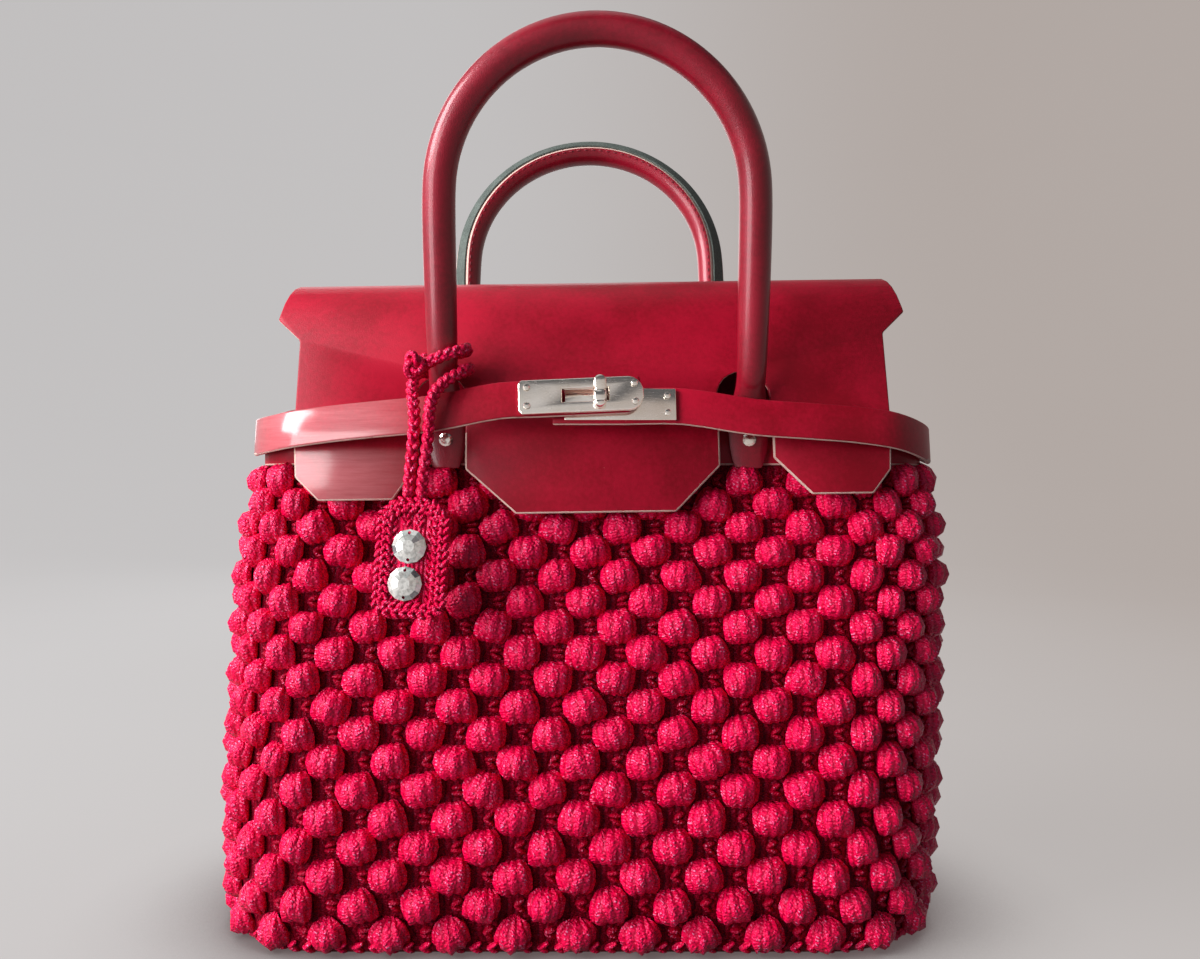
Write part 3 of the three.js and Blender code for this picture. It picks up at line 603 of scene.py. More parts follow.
class Finishes:
    """Every material of the bag, made once."""

    def __init__(self) -> None:
        """Builds the materials."""
        self.cord = CordFinish().material("crochet_cord")
        # A darkened copy of the cord for the shell behind the bobbles: painted shade.
        self.shade_cord = CordFinish(
            crevice_shade=(0.03, 0.0, 0.001), body=(0.2, 0.0, 0.01), painted_glint=(0.4, 0.008, 0.05), sparkle_share=0.0, shine=0.15,
        ).material("shade_painted_cord")
        # A half-darkened copy of the cord for the plain stitches in the hollows: painted shade, with fewer
        # painted sparkles.
        self.half_shade_cord = CordFinish(
            body=(0.33, 0.0, 0.016), painted_glint=(0.7, 0.02, 0.12), sparkle_share=0.3, shine=0.3,
        ).material("half_shade_cord")
        self.leather = LeatherFinish().material("red_leather")
        # Leathers with a painted pale sheen low on the left: the left strap's, and the flap's on its left tab
        # below 187 mm.
        self.sheen_leather = LeatherFinish(painted_sheen=True).material("sheen_leather")
        self.flap_leather = LeatherFinish(painted_sheen=True, sheen_below=0.187).material("flap_leather")
        self.handle_leather = LeatherFinish(
            deep=(0.17, 0.0, 0.007), body=(0.31, 0.001, 0.017), gloss=0.28, coat=0.4, shine=0.5,
            relief=0.08 * MM,
        ).material("handle_leather")
        self.raw = RawEdgeFinish().material("cut_leather_edge")
        self.backing = BackingFinish().material("grey_backing")
        self.nickel = NickelFinish().material("polished_nickel")
        # Each facet's tint is a painted reflection: near-white, pale green, pale pink, dark grey and
        # grey-green.
        reflection_tints = [(0.95, 0.94, 0.9), (0.9, 0.93, 0.9), (0.95, 0.84, 0.88), (0.3, 0.29, 0.31),
                 (0.55, 0.62, 0.6)]
        self.crystal = [CrystalFinish(tint).material(f"crystal_painted_reflection_{i}") for i, tint in enumerate(reflection_tints)]
        self.thread = ThreadFinish().material("sewing_thread")
        self.floor = FloorFinish().material("pale_floor")


# Mesh work


def put_in_order(bm: bmesh.types.BMesh) -> None:
    """Sorts vertices and faces by their places, because extruding orders faces anew on each run.

    Args:
        bm: The mesh.
    """
    verts = {vert: i for i, vert in enumerate(sorted(bm.verts, key=lambda vert: tuple(vert.co)))}
    by_place = sorted(bm.faces, key=lambda face: sorted(verts[vert] for vert in face.verts))
    faces = {face: i for i, face in enumerate(by_place)}
    bm.verts.sort(key=verts.get)
    bm.faces.sort(key=faces.get)


def kept_mesh(name: str, bm: bmesh.types.BMesh) -> bpy.types.Mesh:
    """Keeps a finished bmesh as a mesh and frees it.

    Args:
        name: The mesh's name.
        bm: The bmesh.

    Returns:
        The mesh.
    """
    put_in_order(bm)
    mesh = bpy.data.meshes.new(name)
    bm.to_mesh(mesh)
    bm.free()
    return mesh


def dressed(name: str, bm: bmesh.types.BMesh, materials: Sequence[bpy.types.Material],
            body: str = BAG, sharp: float = 40.0) -> bpy.types.Object:
    """Turns a finished bmesh into a piece that rides on the bag.

    Args:
        name: The piece's name.
        bm: The mesh, in the frame, in metres. It is freed.
        materials: The materials of its faces, in order.
        body: The body that carries it.
        sharp: Edges that turn more than this many degrees stay sharp.

    Returns:
        The piece.
    """
    return as_piece(name, kept_mesh(name, bm), materials, body, sharp)


def as_piece(name: str, mesh: bpy.types.Mesh, materials: Sequence[bpy.types.Material],
             body: str = BAG, sharp: float = 40.0) -> bpy.types.Object:
    """Turns a mesh into a piece that rides on the bag.

    Args:
        name: The piece's name.
        mesh: The mesh, in the frame, in metres.
        materials: The materials of its faces, in order.
        body: The body that carries it.
        sharp: Edges that turn more than this many degrees stay sharp.

    Returns:
        The piece.
    """
    for material in materials:
        mesh.materials.append(material)
    mesh.shade_smooth()
    mesh.set_sharp_from_angle(angle=math.radians(sharp))
    piece = bpy.data.objects.new(name, mesh)
    bpy.context.scene.collection.objects.link(piece)
    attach(piece, body)
    log.info("%s: %d faces", name, len(mesh.polygons))
    return piece


def merged_copy(node: str, whole_faces: bool = True) -> bmesh.types.BMesh:
    """A solid's mesh with its loose triangles merged.

    Args:
        node: The solid's name.
        whole_faces: Whether flat stretches become single faces, or only pairs of triangles are joined.

    Returns:
        The merged copy.
    """
    bm = bmesh.new()
    bm.from_mesh(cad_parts[node].data)
    bmesh.ops.remove_doubles(bm, verts=bm.verts, dist=SAME_PLACE)
    if whole_faces:
        bmesh.ops.dissolve_limit(bm, angle_limit=math.radians(FLAT_TURN), verts=bm.verts, edges=bm.edges)
    else:
        bmesh.ops.join_triangles(bm, faces=bm.faces, angle_face_threshold=math.radians(PAIR_TURN),
                                 angle_shape_threshold=math.radians(PAIR_SHAPE))
    return bm


def bevelled(bm: bmesh.types.BMesh, edges: list[bmesh.types.BMEdge], width: float,
             segments: int) -> list[bmesh.types.BMFace]:
    """Rounds some edges by a width in metres and hands back the rounding's faces."""
    return bmesh.ops.bevel(bm, geom=edges, offset=width, offset_type="OFFSET", segments=segments,
                           profile=0.5, affect="EDGES", material=-1)["faces"]


def soften(bm: bmesh.types.BMesh, width: float, sharper_than: float = 40.0,
           segments: int = 2) -> list[bmesh.types.BMFace]:
    """Rounds a mesh's sharp edges.

    Args:
        bm: The mesh.
        width: The rounding's width in metres.
        sharper_than: Only edges that turn more than this many degrees.
        segments: Faces across the rounding.

    Returns:
        The rounding's faces.
    """
    limit = math.radians(sharper_than)
    edges = [e for e in bm.edges if e.is_manifold and e.calc_face_angle(0.0) > limit]
    return bevelled(bm, edges, width, segments)


def mark_faces(bm: bmesh.types.BMesh, index: int, wanted: Callable[[bmesh.types.BMFace], bool]) -> None:
    """Gives some faces another material.

    Args:
        bm: The mesh.
        index: The material's place in the piece's list.
        wanted: Whether a face gets it.
    """
    bm.normal_update()
    for face in bm.faces:
        if wanted(face):
            face.material_index = index


def pulled(bm: bmesh.types.BMesh, ring: list[bmesh.types.BMVert], places: Way) -> list[bmesh.types.BMVert]:
    """Extrudes a closed ring of vertices to new places.

    Args:
        bm: The mesh.
        ring: The vertices in order.
        places: Where each one's copy goes.

    Returns:
        The new ring in the same order.
    """
    edges = [bm.edges.get(pair) for pair in zip(ring, ring[1:] + ring[:1])]
    made = bmesh.ops.extrude_edge_only(bm, edges=edges)
    fresh = {v for v in made["geom"] if isinstance(v, bmesh.types.BMVert)}
    following = [next(e.other_vert(v) for e in v.link_edges if e.other_vert(v) in fresh) for v in ring]
    for vert, place in zip(following, places):
        vert.co = place
    return following


def ring_start(bm: bmesh.types.BMesh, places: Way) -> list[bmesh.types.BMVert]:
    """Starts a shell with a closed ring of vertices, made as a circle and moved into place.

    Args:
        bm: The mesh.
        places: Where each vertex goes.

    Returns:
        The ring.
    """
    made = bmesh.ops.create_circle(bm, segments=len(places), radius=1.0)
    for vert, place in zip(made["verts"], places):
        vert.co = place
    return list(made["verts"])


def paint_strands(bm: bmesh.types.BMesh, where: dict[bmesh.types.BMVert, tuple[float, float]],
                  around: float) -> None:
    """Writes the strand coordinates of each face corner.

    Args:
        bm: The mesh.
        where: Across and along for each vertex.
        around: What across grows by in a whole turn, or 0 on an open sheet.
    """
    layer = bm.loops.layers.uv.get(UV_NAME) or bm.loops.layers.uv.new(UV_NAME)
    for face in bm.faces:
        pairs = [where.get(loop.vert) for loop in face.loops]
        if None in pairs:
            continue
        highest = max(pair[0] for pair in pairs)
        for loop, (across, along) in zip(face.loops, pairs):
            wrapped = around > 0 and highest - across > around / 2
            loop[layer].uv = (across + around if wrapped else across, along)


def frames_along(way: Way) -> list[tuple[Vector, Vector]]:
    """Finds two directions square to a way at each point, carried along without twist.

    Args:
        way: The way's points.

    Returns:
        The two directions at each point.
    """
    side = Vector((0, 0, 1)) if abs((way[1] - way[0]).normalized().z) < 0.9 else Vector((0, 1, 0))
    found = []
    for i in range(len(way)):
        ahead = (way[min(i + 1, len(way) - 1)] - way[max(i - 1, 0)]).normalized()
        side = (side - ahead * side.dot(ahead)).normalized()
        found.append((side.copy(), ahead.cross(side).normalized()))
    return found


def plies_along(way: Way) -> list[float]:
    """Counts the plies along a way.

    Args:
        way: The way's points.

    Returns:
        How many plies lie between the start and each point.
    """
    travelled = [0.0]
    for a, b in zip(way, way[1:]):
        travelled.append(travelled[-1] + (b - a).length / PLY_PITCH)
    return travelled


def add_rings(bm: bmesh.types.BMesh, rings: Sequence[Way], travelled: Sequence[float], plies: float) -> None:
    """Adds a shell through closed rings, capped at both ends, with its strand coordinates.

    Args:
        bm: The mesh.
        rings: The places of each ring, all of the same count.
        travelled: How far along the strand each ring lies, in plies.
        plies: How many plies show round it.
    """
    where: dict[bmesh.types.BMVert, tuple[float, float]] = {}
    first = ring = ring_start(bm, rings[0])
    for i, places in enumerate(rings):
        ring = pulled(bm, ring, places) if i else ring
        for a, vert in enumerate(ring):
            where[vert] = (plies * a / len(ring), travelled[i])
    bmesh.ops.contextual_create(bm, geom=first)
    bmesh.ops.contextual_create(bm, geom=ring)
    paint_strands(bm, where, plies)


def add_tube(bm: bmesh.types.BMesh, way: Way, radius: float) -> None:
    """Adds a round strand along a way, closed at both ends.

    Args:
        bm: The mesh.
        way: The middle line.
        radius: The strand's radius in metres.
    """
    angles = [math.tau * a / TUBE_SIDES for a in range(TUBE_SIDES)]
    rings = [[point + side * (radius * math.cos(t)) + up * (radius * math.sin(t)) for t in angles]
             for point, (side, up) in zip(way, frames_along(way))]
    add_rings(bm, rings, plies_along(way), TUBE_PLIES)


def closed_right(bm: bmesh.types.BMesh) -> None:
    """Turns a merged closed mesh's faces outwards."""
    bmesh.ops.recalc_face_normals(bm, faces=bm.faces)


def stitch_grain() -> bpy.types.Mesh:
    """Makes a short fat stretch of strand, 2 long, lying along X, thinner at its ends.

    Returns:
        The template.
    """
    bm = bmesh.new()
    bmesh.ops.create_uvsphere(bm, u_segments=6, v_segments=6, radius=1.0, calc_uvs=False)
    layer = bm.loops.layers.uv.new(UV_NAME)
    for face in bm.faces:
        angles = [math.atan2(loop.vert.co.y, loop.vert.co.x) / math.tau % 1.0 for loop in face.loops]
        highest = max(angles)
        for loop, angle in zip(face.loops, angles):
            around = angle + 1.0 if highest - angle > 0.5 else angle
            loop[layer].uv = (2.0 * around, 2.2 * loop.vert.co.z)
    for vert in bm.verts:
        x, y, z = vert.co
        vert.co = Vector((z, x * GRAIN_WIDTH, y * GRAIN_WIDTH))
    return kept_mesh("stitch_grain", bm)


def sized(x: float, y: float, z: float) -> Matrix:
    """A scale by so many millimetres in each direction."""
    return Matrix.Diagonal((x * MM, y * MM, z * MM, 1.0))


def placing(origin: Vector, across: Vector, up: Vector, out: Vector) -> Matrix:
    """Makes a placing from three directions.

    Args:
        origin: Where the copy's middle goes.
        across: Where its X points.
        up: Where its Y points.
        out: Where its Z points.

    Returns:
        The matrix with these columns.
    """
    turned = Matrix((across, up, out)).transposed().to_4x4()
    turned.translation = origin
    return turned


@dataclass(frozen=True)
class StitchV:
    """A V of two grains: their size, how far each is moved from the middle and turned, in mm and degrees."""

    size: tuple[float, float, float]
    ahead: float
    aside: float
    turn: float
    looseness: float

    def placed(self, base: Matrix, chance: random.Random) -> list[Placed]:
        """Places one V.

        Args:
            base: The directions and the place of its middle.
            chance: Draws how far each grain is turned besides.

        Returns:
            The two grains as placings of the first template.
        """
        grains = []
        for side in (-1, 1):
            loose = chance.uniform(-self.looseness, self.looseness)
            turn = Matrix.Rotation(math.radians(side * self.turn + loose), 4, "Z")
            move = Matrix.Translation((self.ahead * MM, side * self.aside * MM, 0))
            grains.append((0, base @ move @ turn @ sized(*self.size)))
        return grains


def repeated(name: str, templates: Sequence[bpy.types.Mesh], places: Sequence[Placed],
             material: bpy.types.Material, resting: bool = False) -> bpy.types.Object:
    """Joins many copies of small meshes into one piece.

    Args:
        name: The piece's name.
        templates: The small meshes, with strand coordinates.
        places: A template's number and its placing, for each copy.
        material: The piece's material.
        resting: Whether what would reach below the table is pressed flat on it.

    Returns:
        The piece.
    """
    parts = []
    for template in templates:
        count = len(template.vertices)
        flat = np.empty(3 * count)
        template.vertices.foreach_get("co", flat)
        uv = np.empty(2 * len(template.loops))
        template.uv_layers[UV_NAME].data.foreach_get("uv", uv)
        parts.append((flat.reshape(-1, 3), [tuple(p.vertices) for p in template.polygons], uv))
    points, faces, corners = [], [], []
    offset = 0
    for number, place in places:
        flat, polygons, uv = parts[number]
        matrix = np.array(place)
        moved = flat @ matrix[:3, :3].T + matrix[:3, 3]
        if resting:
            moved[:, 2] = np.maximum(moved[:, 2], RESTING_LEVEL)
        points.append(moved)
        faces.extend(tuple(v + offset for v in polygon) for polygon in polygons)
        corners.append(uv)
        offset += len(flat)
    mesh = bpy.data.meshes.new(name)
    mesh.from_pydata(np.concatenate(points).tolist(), [], faces)
    mesh.uv_layers.new(name=UV_NAME)
    mesh.uv_layers[UV_NAME].data.foreach_set("uv", np.concatenate(corners))
    return as_piece(name, mesh, [material], sharp=NEVER_SHARP)


# The crocheted body


@dataclass(frozen=True)
class ProfileRow:
    """The wall's shares of the full width, depth and lean at one height."""

    rise: float
    width: float
    depth: float
    lean: float


@dataclass(frozen=True)
class Wall:
    """The crocheted wall's form, the same as its solid's: how it swells, where rows and columns lie."""

    width: float = 291.0
    depth: float = 127.0
    height: float = 178.0
    pitch: float = 23.4
    rows: int = 18
    quarter_columns: int = 8
    relief: float = 8.0
    knit: float = 3.0
    base: float = 5.0
    plain_edge: float = 14.0
    lean: float = 5.5
    gusset_dip: float = 8.0
    corner_share: float = 0.75
    even_share: float = 0.56
    first_row: float = 0.72
    last_row_spare: float = 0.25
    row_tightening: float = 0.1
    dip_from: float = 0.45
    dip_reach: float = 0.8
    probe_columns: float = 0.25
    probe_height: float = 2.0
    profile: tuple[ProfileRow, ...] = (
        ProfileRow(0.00, 0.935, 0.90, 1.00),
        ProfileRow(0.045, 0.972, 0.975, 1.00),
        ProfileRow(0.12, 0.980, 1.00, 0.97),
        ProfileRow(0.30, 0.988, 0.97, 0.80),
        ProfileRow(0.50, 0.990, 0.90, 0.55),
        ProfileRow(0.66, 0.993, 0.835, 0.40),
        ProfileRow(0.80, 1.000, 0.755, 0.18),
        ProfileRow(0.92, 0.980, 0.69, 0.05),
        ProfileRow(1.00, 0.965, 0.66, 0.00),
    )

    @property
    def columns(self) -> int:
        """Bobble columns all the way round."""
        return 4 * self.quarter_columns

    def shares(self, rise: float) -> ProfileRow:
        """Reads the profile between its rows.

        Args:
            rise: The share of the height.

        Returns:
            The row at that height.
        """
        rows = self.profile
        i = 0
        while i < len(rows) - 2 and rows[i + 1].rise < rise:
            i += 1
        low, high = rows[i], rows[i + 1]
        t = clamped((rise - low.rise) / (high.rise - low.rise))
        pairs = ((low.width, high.width), (low.depth, high.depth), (low.lean, high.lean))
        return ProfileRow(rise, *(a + (b - a) * t for a, b in pairs))

    def point(self, height: float, column: float, inset: float) -> Vector:
        """A place on the wall.

        Args:
            height: Above the table.
            column: Counted from the middle of the front towards the right.
            inset: Inwards from the bobbles' tips.

        Returns:
            The place in the frame, in metres.
        """
        rise = min(height / self.height, 1.0)
        here = self.shares(rise)
        half_width = here.width * self.width / 2 - inset
        half_depth = here.depth * self.depth / 2 - inset
        full_radius = here.depth * self.depth / 2 * self.corner_share
        radius = full_radius - inset
        place = column % self.columns
        to_side = 1 if place <= self.columns / 2 else -1
        from_front = min(place, self.columns - place)
        to_front = -1 if from_front <= self.quarter_columns else 1
        from_face = from_front if to_front < 0 else self.columns / 2 - from_front
        outside = half_width + half_depth + 2 * inset - 2 * full_radius + full_radius * math.pi / 2
        even = self.even_share * self.quarter_columns
        pitch = min(self.pitch, (half_width + inset - radius) / even)
        crowded = (outside - even * pitch) / (self.quarter_columns - even)
        along = from_face * pitch if from_face <= even else even * pitch + (from_face - even) * crowded
        flat = half_width - radius
        turn = clamped((along - flat) / full_radius, math.pi / 2)
        beyond = max(along - flat - full_radius * math.pi / 2, 0.0)
        side = min(along, flat) + radius * math.sin(turn)
        front = half_depth - radius + radius * math.cos(turn) - beyond
        dip_share = max(1 - (front / half_depth / self.dip_reach) ** 2, 0.0) ** 2
        dip_rise = eased((rise - self.dip_from) / (1 - self.dip_from))
        dip = self.gusset_dip * dip_rise * dip_share * math.sin(turn) ** 2
        return at(to_side * (side - dip) - self.lean * here.lean, to_front * front, height)

    def row_height(self, row: float) -> float:
        """The height of a row's middle, or of the line between two rows at a half."""
        share = clamped((row + self.first_row) / (self.rows + self.last_row_spare))
        return self.height * (share + self.row_tightening * share * (1 - share))

    def placing(self, height: float, column: float, inset: float) -> tuple[Matrix, float]:
        """Finds how a stitch sits on the wall.

        Args:
            height: Above the table.
            column: Counted as for a point.
            inset: Inwards from the bobbles' tips.

        Returns:
            The directions across, up and out of the wall with the place, and the column pitch there.
        """
        left = self.point(height, column - self.probe_columns, inset)
        right = self.point(height, column + self.probe_columns, inset)
        below = self.point(max(height - self.probe_height, 0), column, inset)
        above = self.point(height + self.probe_height, column, inset)
        across = right - left
        local = across.length / (2 * self.probe_columns) / MM
        across.normalize()
        up = (above - below).normalized()
        out = across.cross(up).normalized()
        up = out.cross(across).normalized()
        return placing(self.point(height, column, inset), across, up, out), local


@dataclass(frozen=True)
class BobbleForm:
    """A bobble about 1 across and 1 high: fat strands that curl over from foot to head."""

    strands: int = 5
    rows: int = 6
    strand_length: float = 16.32
    ridge: float = 1.07
    valley: float = 0.93
    valley_length: float = 0.94
    gather: float = 0.3
    fullness: float = 0.75
    flatness: float = 0.15
    half_around: float = 96.0
    half_over: float = 102.0
    swell_spread: float = 0.06
    shift_spread: float = 0.16
    lean_spread: float = 0.1
    roughness: float = 0.035

    def mesh(self, chance: random.Random) -> bpy.types.Mesh:
        """Makes one bobble of its own kind.

        Args:
            chance: Draws its strands' swell, shift and lean, and the roughness.

        Returns:
            The template.
        """
        bm = bmesh.new()
        columns = 2 * self.strands
        bmesh.ops.create_grid(bm, x_segments=columns, y_segments=self.rows, size=1.0)
        swells = [1 + chance.uniform(-self.swell_spread, self.swell_spread) for _ in range(self.strands)]
        shifts = [chance.uniform(-self.shift_spread, self.shift_spread) for _ in range(self.strands)]
        leans = [chance.uniform(-self.lean_spread, self.lean_spread) for _ in range(self.strands)]
        plies = self.strand_length * MM / PLY_PITCH
        layer = bm.loops.layers.uv.new(UV_NAME)
        for face in bm.faces:
            for loop in face.loops:
                s, t = loop.vert.co.x, loop.vert.co.y
                loop[layer].uv = ((s + 1) / 2 * self.strands * 0.9999, (t + 1) / 2 * plies)
        for vert in bm.verts:
            s, t = vert.co.x, vert.co.y
            spot = round((s + 1) / 2 * columns)
            strand = min(spot // 2, self.strands - 1)
            is_ridge = spot % 2 == 1
            swell = self.ridge * swells[strand] if is_ridge else self.valley
            around = math.radians(self.half_around) * s
            over = math.radians(self.half_over) * t
            gathered = self.gather + (1 - self.gather) * max(math.cos(over), 0.0) ** self.fullness
            x = swell * math.sin(around) * gathered + leans[strand] * math.sin(2 * over)
            z = swell * (math.cos(around) * (1 - self.flatness) + self.flatness) * math.cos(over)
            y = math.sin(over) * (1.0 if is_ridge else self.valley_length) + shifts[strand] * math.cos(over)
            rough = Vector(chance.uniform(-self.roughness, self.roughness) for _ in range(3))
            vert.co = Vector((x, y, z)) + rough
        return kept_mesh("bobble", bm)


@dataclass
class CrochetBody:
    """The crocheted shell, its bobbles, the plain stitches between them and the edges."""

    finishes: Finishes
    wall: Wall = Wall()
    form: BobbleForm = BobbleForm()
    kinds: int = 10
    bobble_height: float = 13.6
    bobble_share: float = 0.305
    least_half_width: float = 5.6
    bobble_seat: float = 0.4
    width_range: tuple[float, float] = (0.95, 1.05)
    height_range: tuple[float, float] = (0.94, 1.04)
    relief_range: tuple[float, float] = (0.94, 1.06)
    slant: float = 3.0
    slant_spread: float = 8.0
    nudges: tuple[float, float] = (0.5, 0.4)
    shell_swell: float = 0.6
    foot_share: float = 0.45
    foot_height: float = 2.5
    rim_rounding: float = 0.8
    ring_columns: int = 128
    underside: tuple[float, ...] = (0.86, 0.7, 0.5, 0.3, 0.12)
    inside_base: tuple[float, ...] = (0.0, 0.2, 0.4, 0.6)
    plain_seat: float = 0.9
    plain_v: StitchV = StitchV((2.5, 2.7, 4.4), ahead=1.6, aside=1.1, turn=20.0, looseness=25.0)
    edge_v: StitchV = StitchV((2.9, 2.6, 3.0), ahead=0.0, aside=1.15, turn=40.0, looseness=6.0)
    edge_count: int = 112
    foot_row: float = 2.2
    foot_row_share: float = 0.40
    top_rows: tuple[tuple[float, float], ...] = ((4.0, 0.2), (9.0, 0.2), (13.2, 0.7))
    seed: int = 11

    def build(self) -> None:
        """Makes every piece of the body."""
        self._shell()
        self._bobbles()
        self._plain_stitches()
        self._edge_stitches()

    def _ring(self, height: float, inset: float) -> Way:
        """A ring of places round the wall."""
        share = self.wall.columns / self.ring_columns
        return [self.wall.point(height, a * share, inset) for a in range(self.ring_columns)]

    def _shell(self) -> None:
        """The closed wall behind the bobbles, with its rim, its inside and its flat base."""
        wall = self.wall
        ground = wall.relief - self.shell_swell
        inner = wall.relief + wall.knit
        top = wall.height + wall.plain_edge
        foot = wall.relief * self.foot_share
        outside = [(0.0, foot), (self.foot_height, foot)]
        outside += [(wall.row_height(row / 2), ground) for row in range(2 * wall.rows - 1)]
        outside += [(wall.height + 1, ground), (top - 1, wall.relief - 0.2)]
        rim = [(top, wall.relief + self.rim_rounding), (top, inner - self.rim_rounding)]
        inside = [(share * wall.height, inner) for share in steps(1.07, 0.06, 24)]
        rings = [self._ring(0.0, share * wall.depth / 2) for share in self.underside]
        rings += [self._ring(height, inset) for height, inset in outside + rim + inside]
        rings += [self._ring(wall.base, inner + share * wall.depth / 2) for share in self.inside_base]
        bm = bmesh.new()
        add_rings(bm, rings, plies_along([ring[0] for ring in rings]), 2.0 * self.ring_columns)
        closed_right(bm)
        # The shell wears the darkened cord: painted shade behind the bobbles.
        piece = dressed("crochet_shell", bm, [self.finishes.shade_cord], sharp=80.0)
        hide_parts("crochet_body")

    def _bobbles(self) -> None:
        """Every row of bobbles, half a pitch on from the row below."""
        chance = random.Random(self.seed)
        templates = [self.form.mesh(chance) for _ in range(self.kinds)]
        seat = self.wall.relief - self.bobble_seat
        places = []
        for row in range(self.wall.rows):
            height = self.wall.row_height(row)
            for a in range(row % 2, 2 * self.wall.columns, 2):
                base, local = self.wall.placing(height, a / 2, seat)
                half_width = max(self.bobble_share * local, self.least_half_width)
                size = sized(half_width * chance.uniform(*self.width_range),
                             self.bobble_height / 2 * chance.uniform(*self.height_range),
                             seat * chance.uniform(*self.relief_range))
                turn = Matrix.Rotation(math.radians(chance.gauss(self.slant, self.slant_spread)), 4, "Z")
                aside, up = (chance.uniform(-reach, reach) * MM for reach in self.nudges)
                nudge = Matrix.Translation((aside, up, 0))
                places.append((chance.randrange(len(templates)), base @ nudge @ turn @ size))
        repeated("bobbles", templates, places, self.finishes.cord, resting=True)

    def _plain_stitches(self) -> None:
        """A small V of plain cord in each hollow between two bobbles of a row."""
        chance = random.Random(self.seed + 1)
        places = []
        for row in range(self.wall.rows):
            height = self.wall.row_height(row)
            for a in range((row + 1) % 2, 2 * self.wall.columns, 2):
                base, _ = self.wall.placing(height, a / 2, self.wall.relief - self.plain_seat)
                places += self.plain_v.placed(base, chance)
        # Their cord is half darkened: painted shade of the hollows.
        repeated("plain_stitches", [stitch_grain()], places, self.finishes.half_shade_cord)

    def _edge_stitches(self) -> None:
        """Rows of V stitches along the foot of the wall and up its plain top edge."""
        chance = random.Random(self.seed + 2)
        wall = self.wall
        rows = [(self.foot_row, wall.relief * self.foot_row_share)]
        rows += [(wall.height + rise, wall.relief + sink) for rise, sink in self.top_rows]
        places = []
        for height, inset in rows:
            for i in range(self.edge_count):
                base, _ = wall.placing(height, i * wall.columns / self.edge_count, inset)
                places += self.edge_v.placed(base, chance)
        repeated("edge_stitches", [stitch_grain()], places, self.finishes.cord, resting=True)


# The leather kit


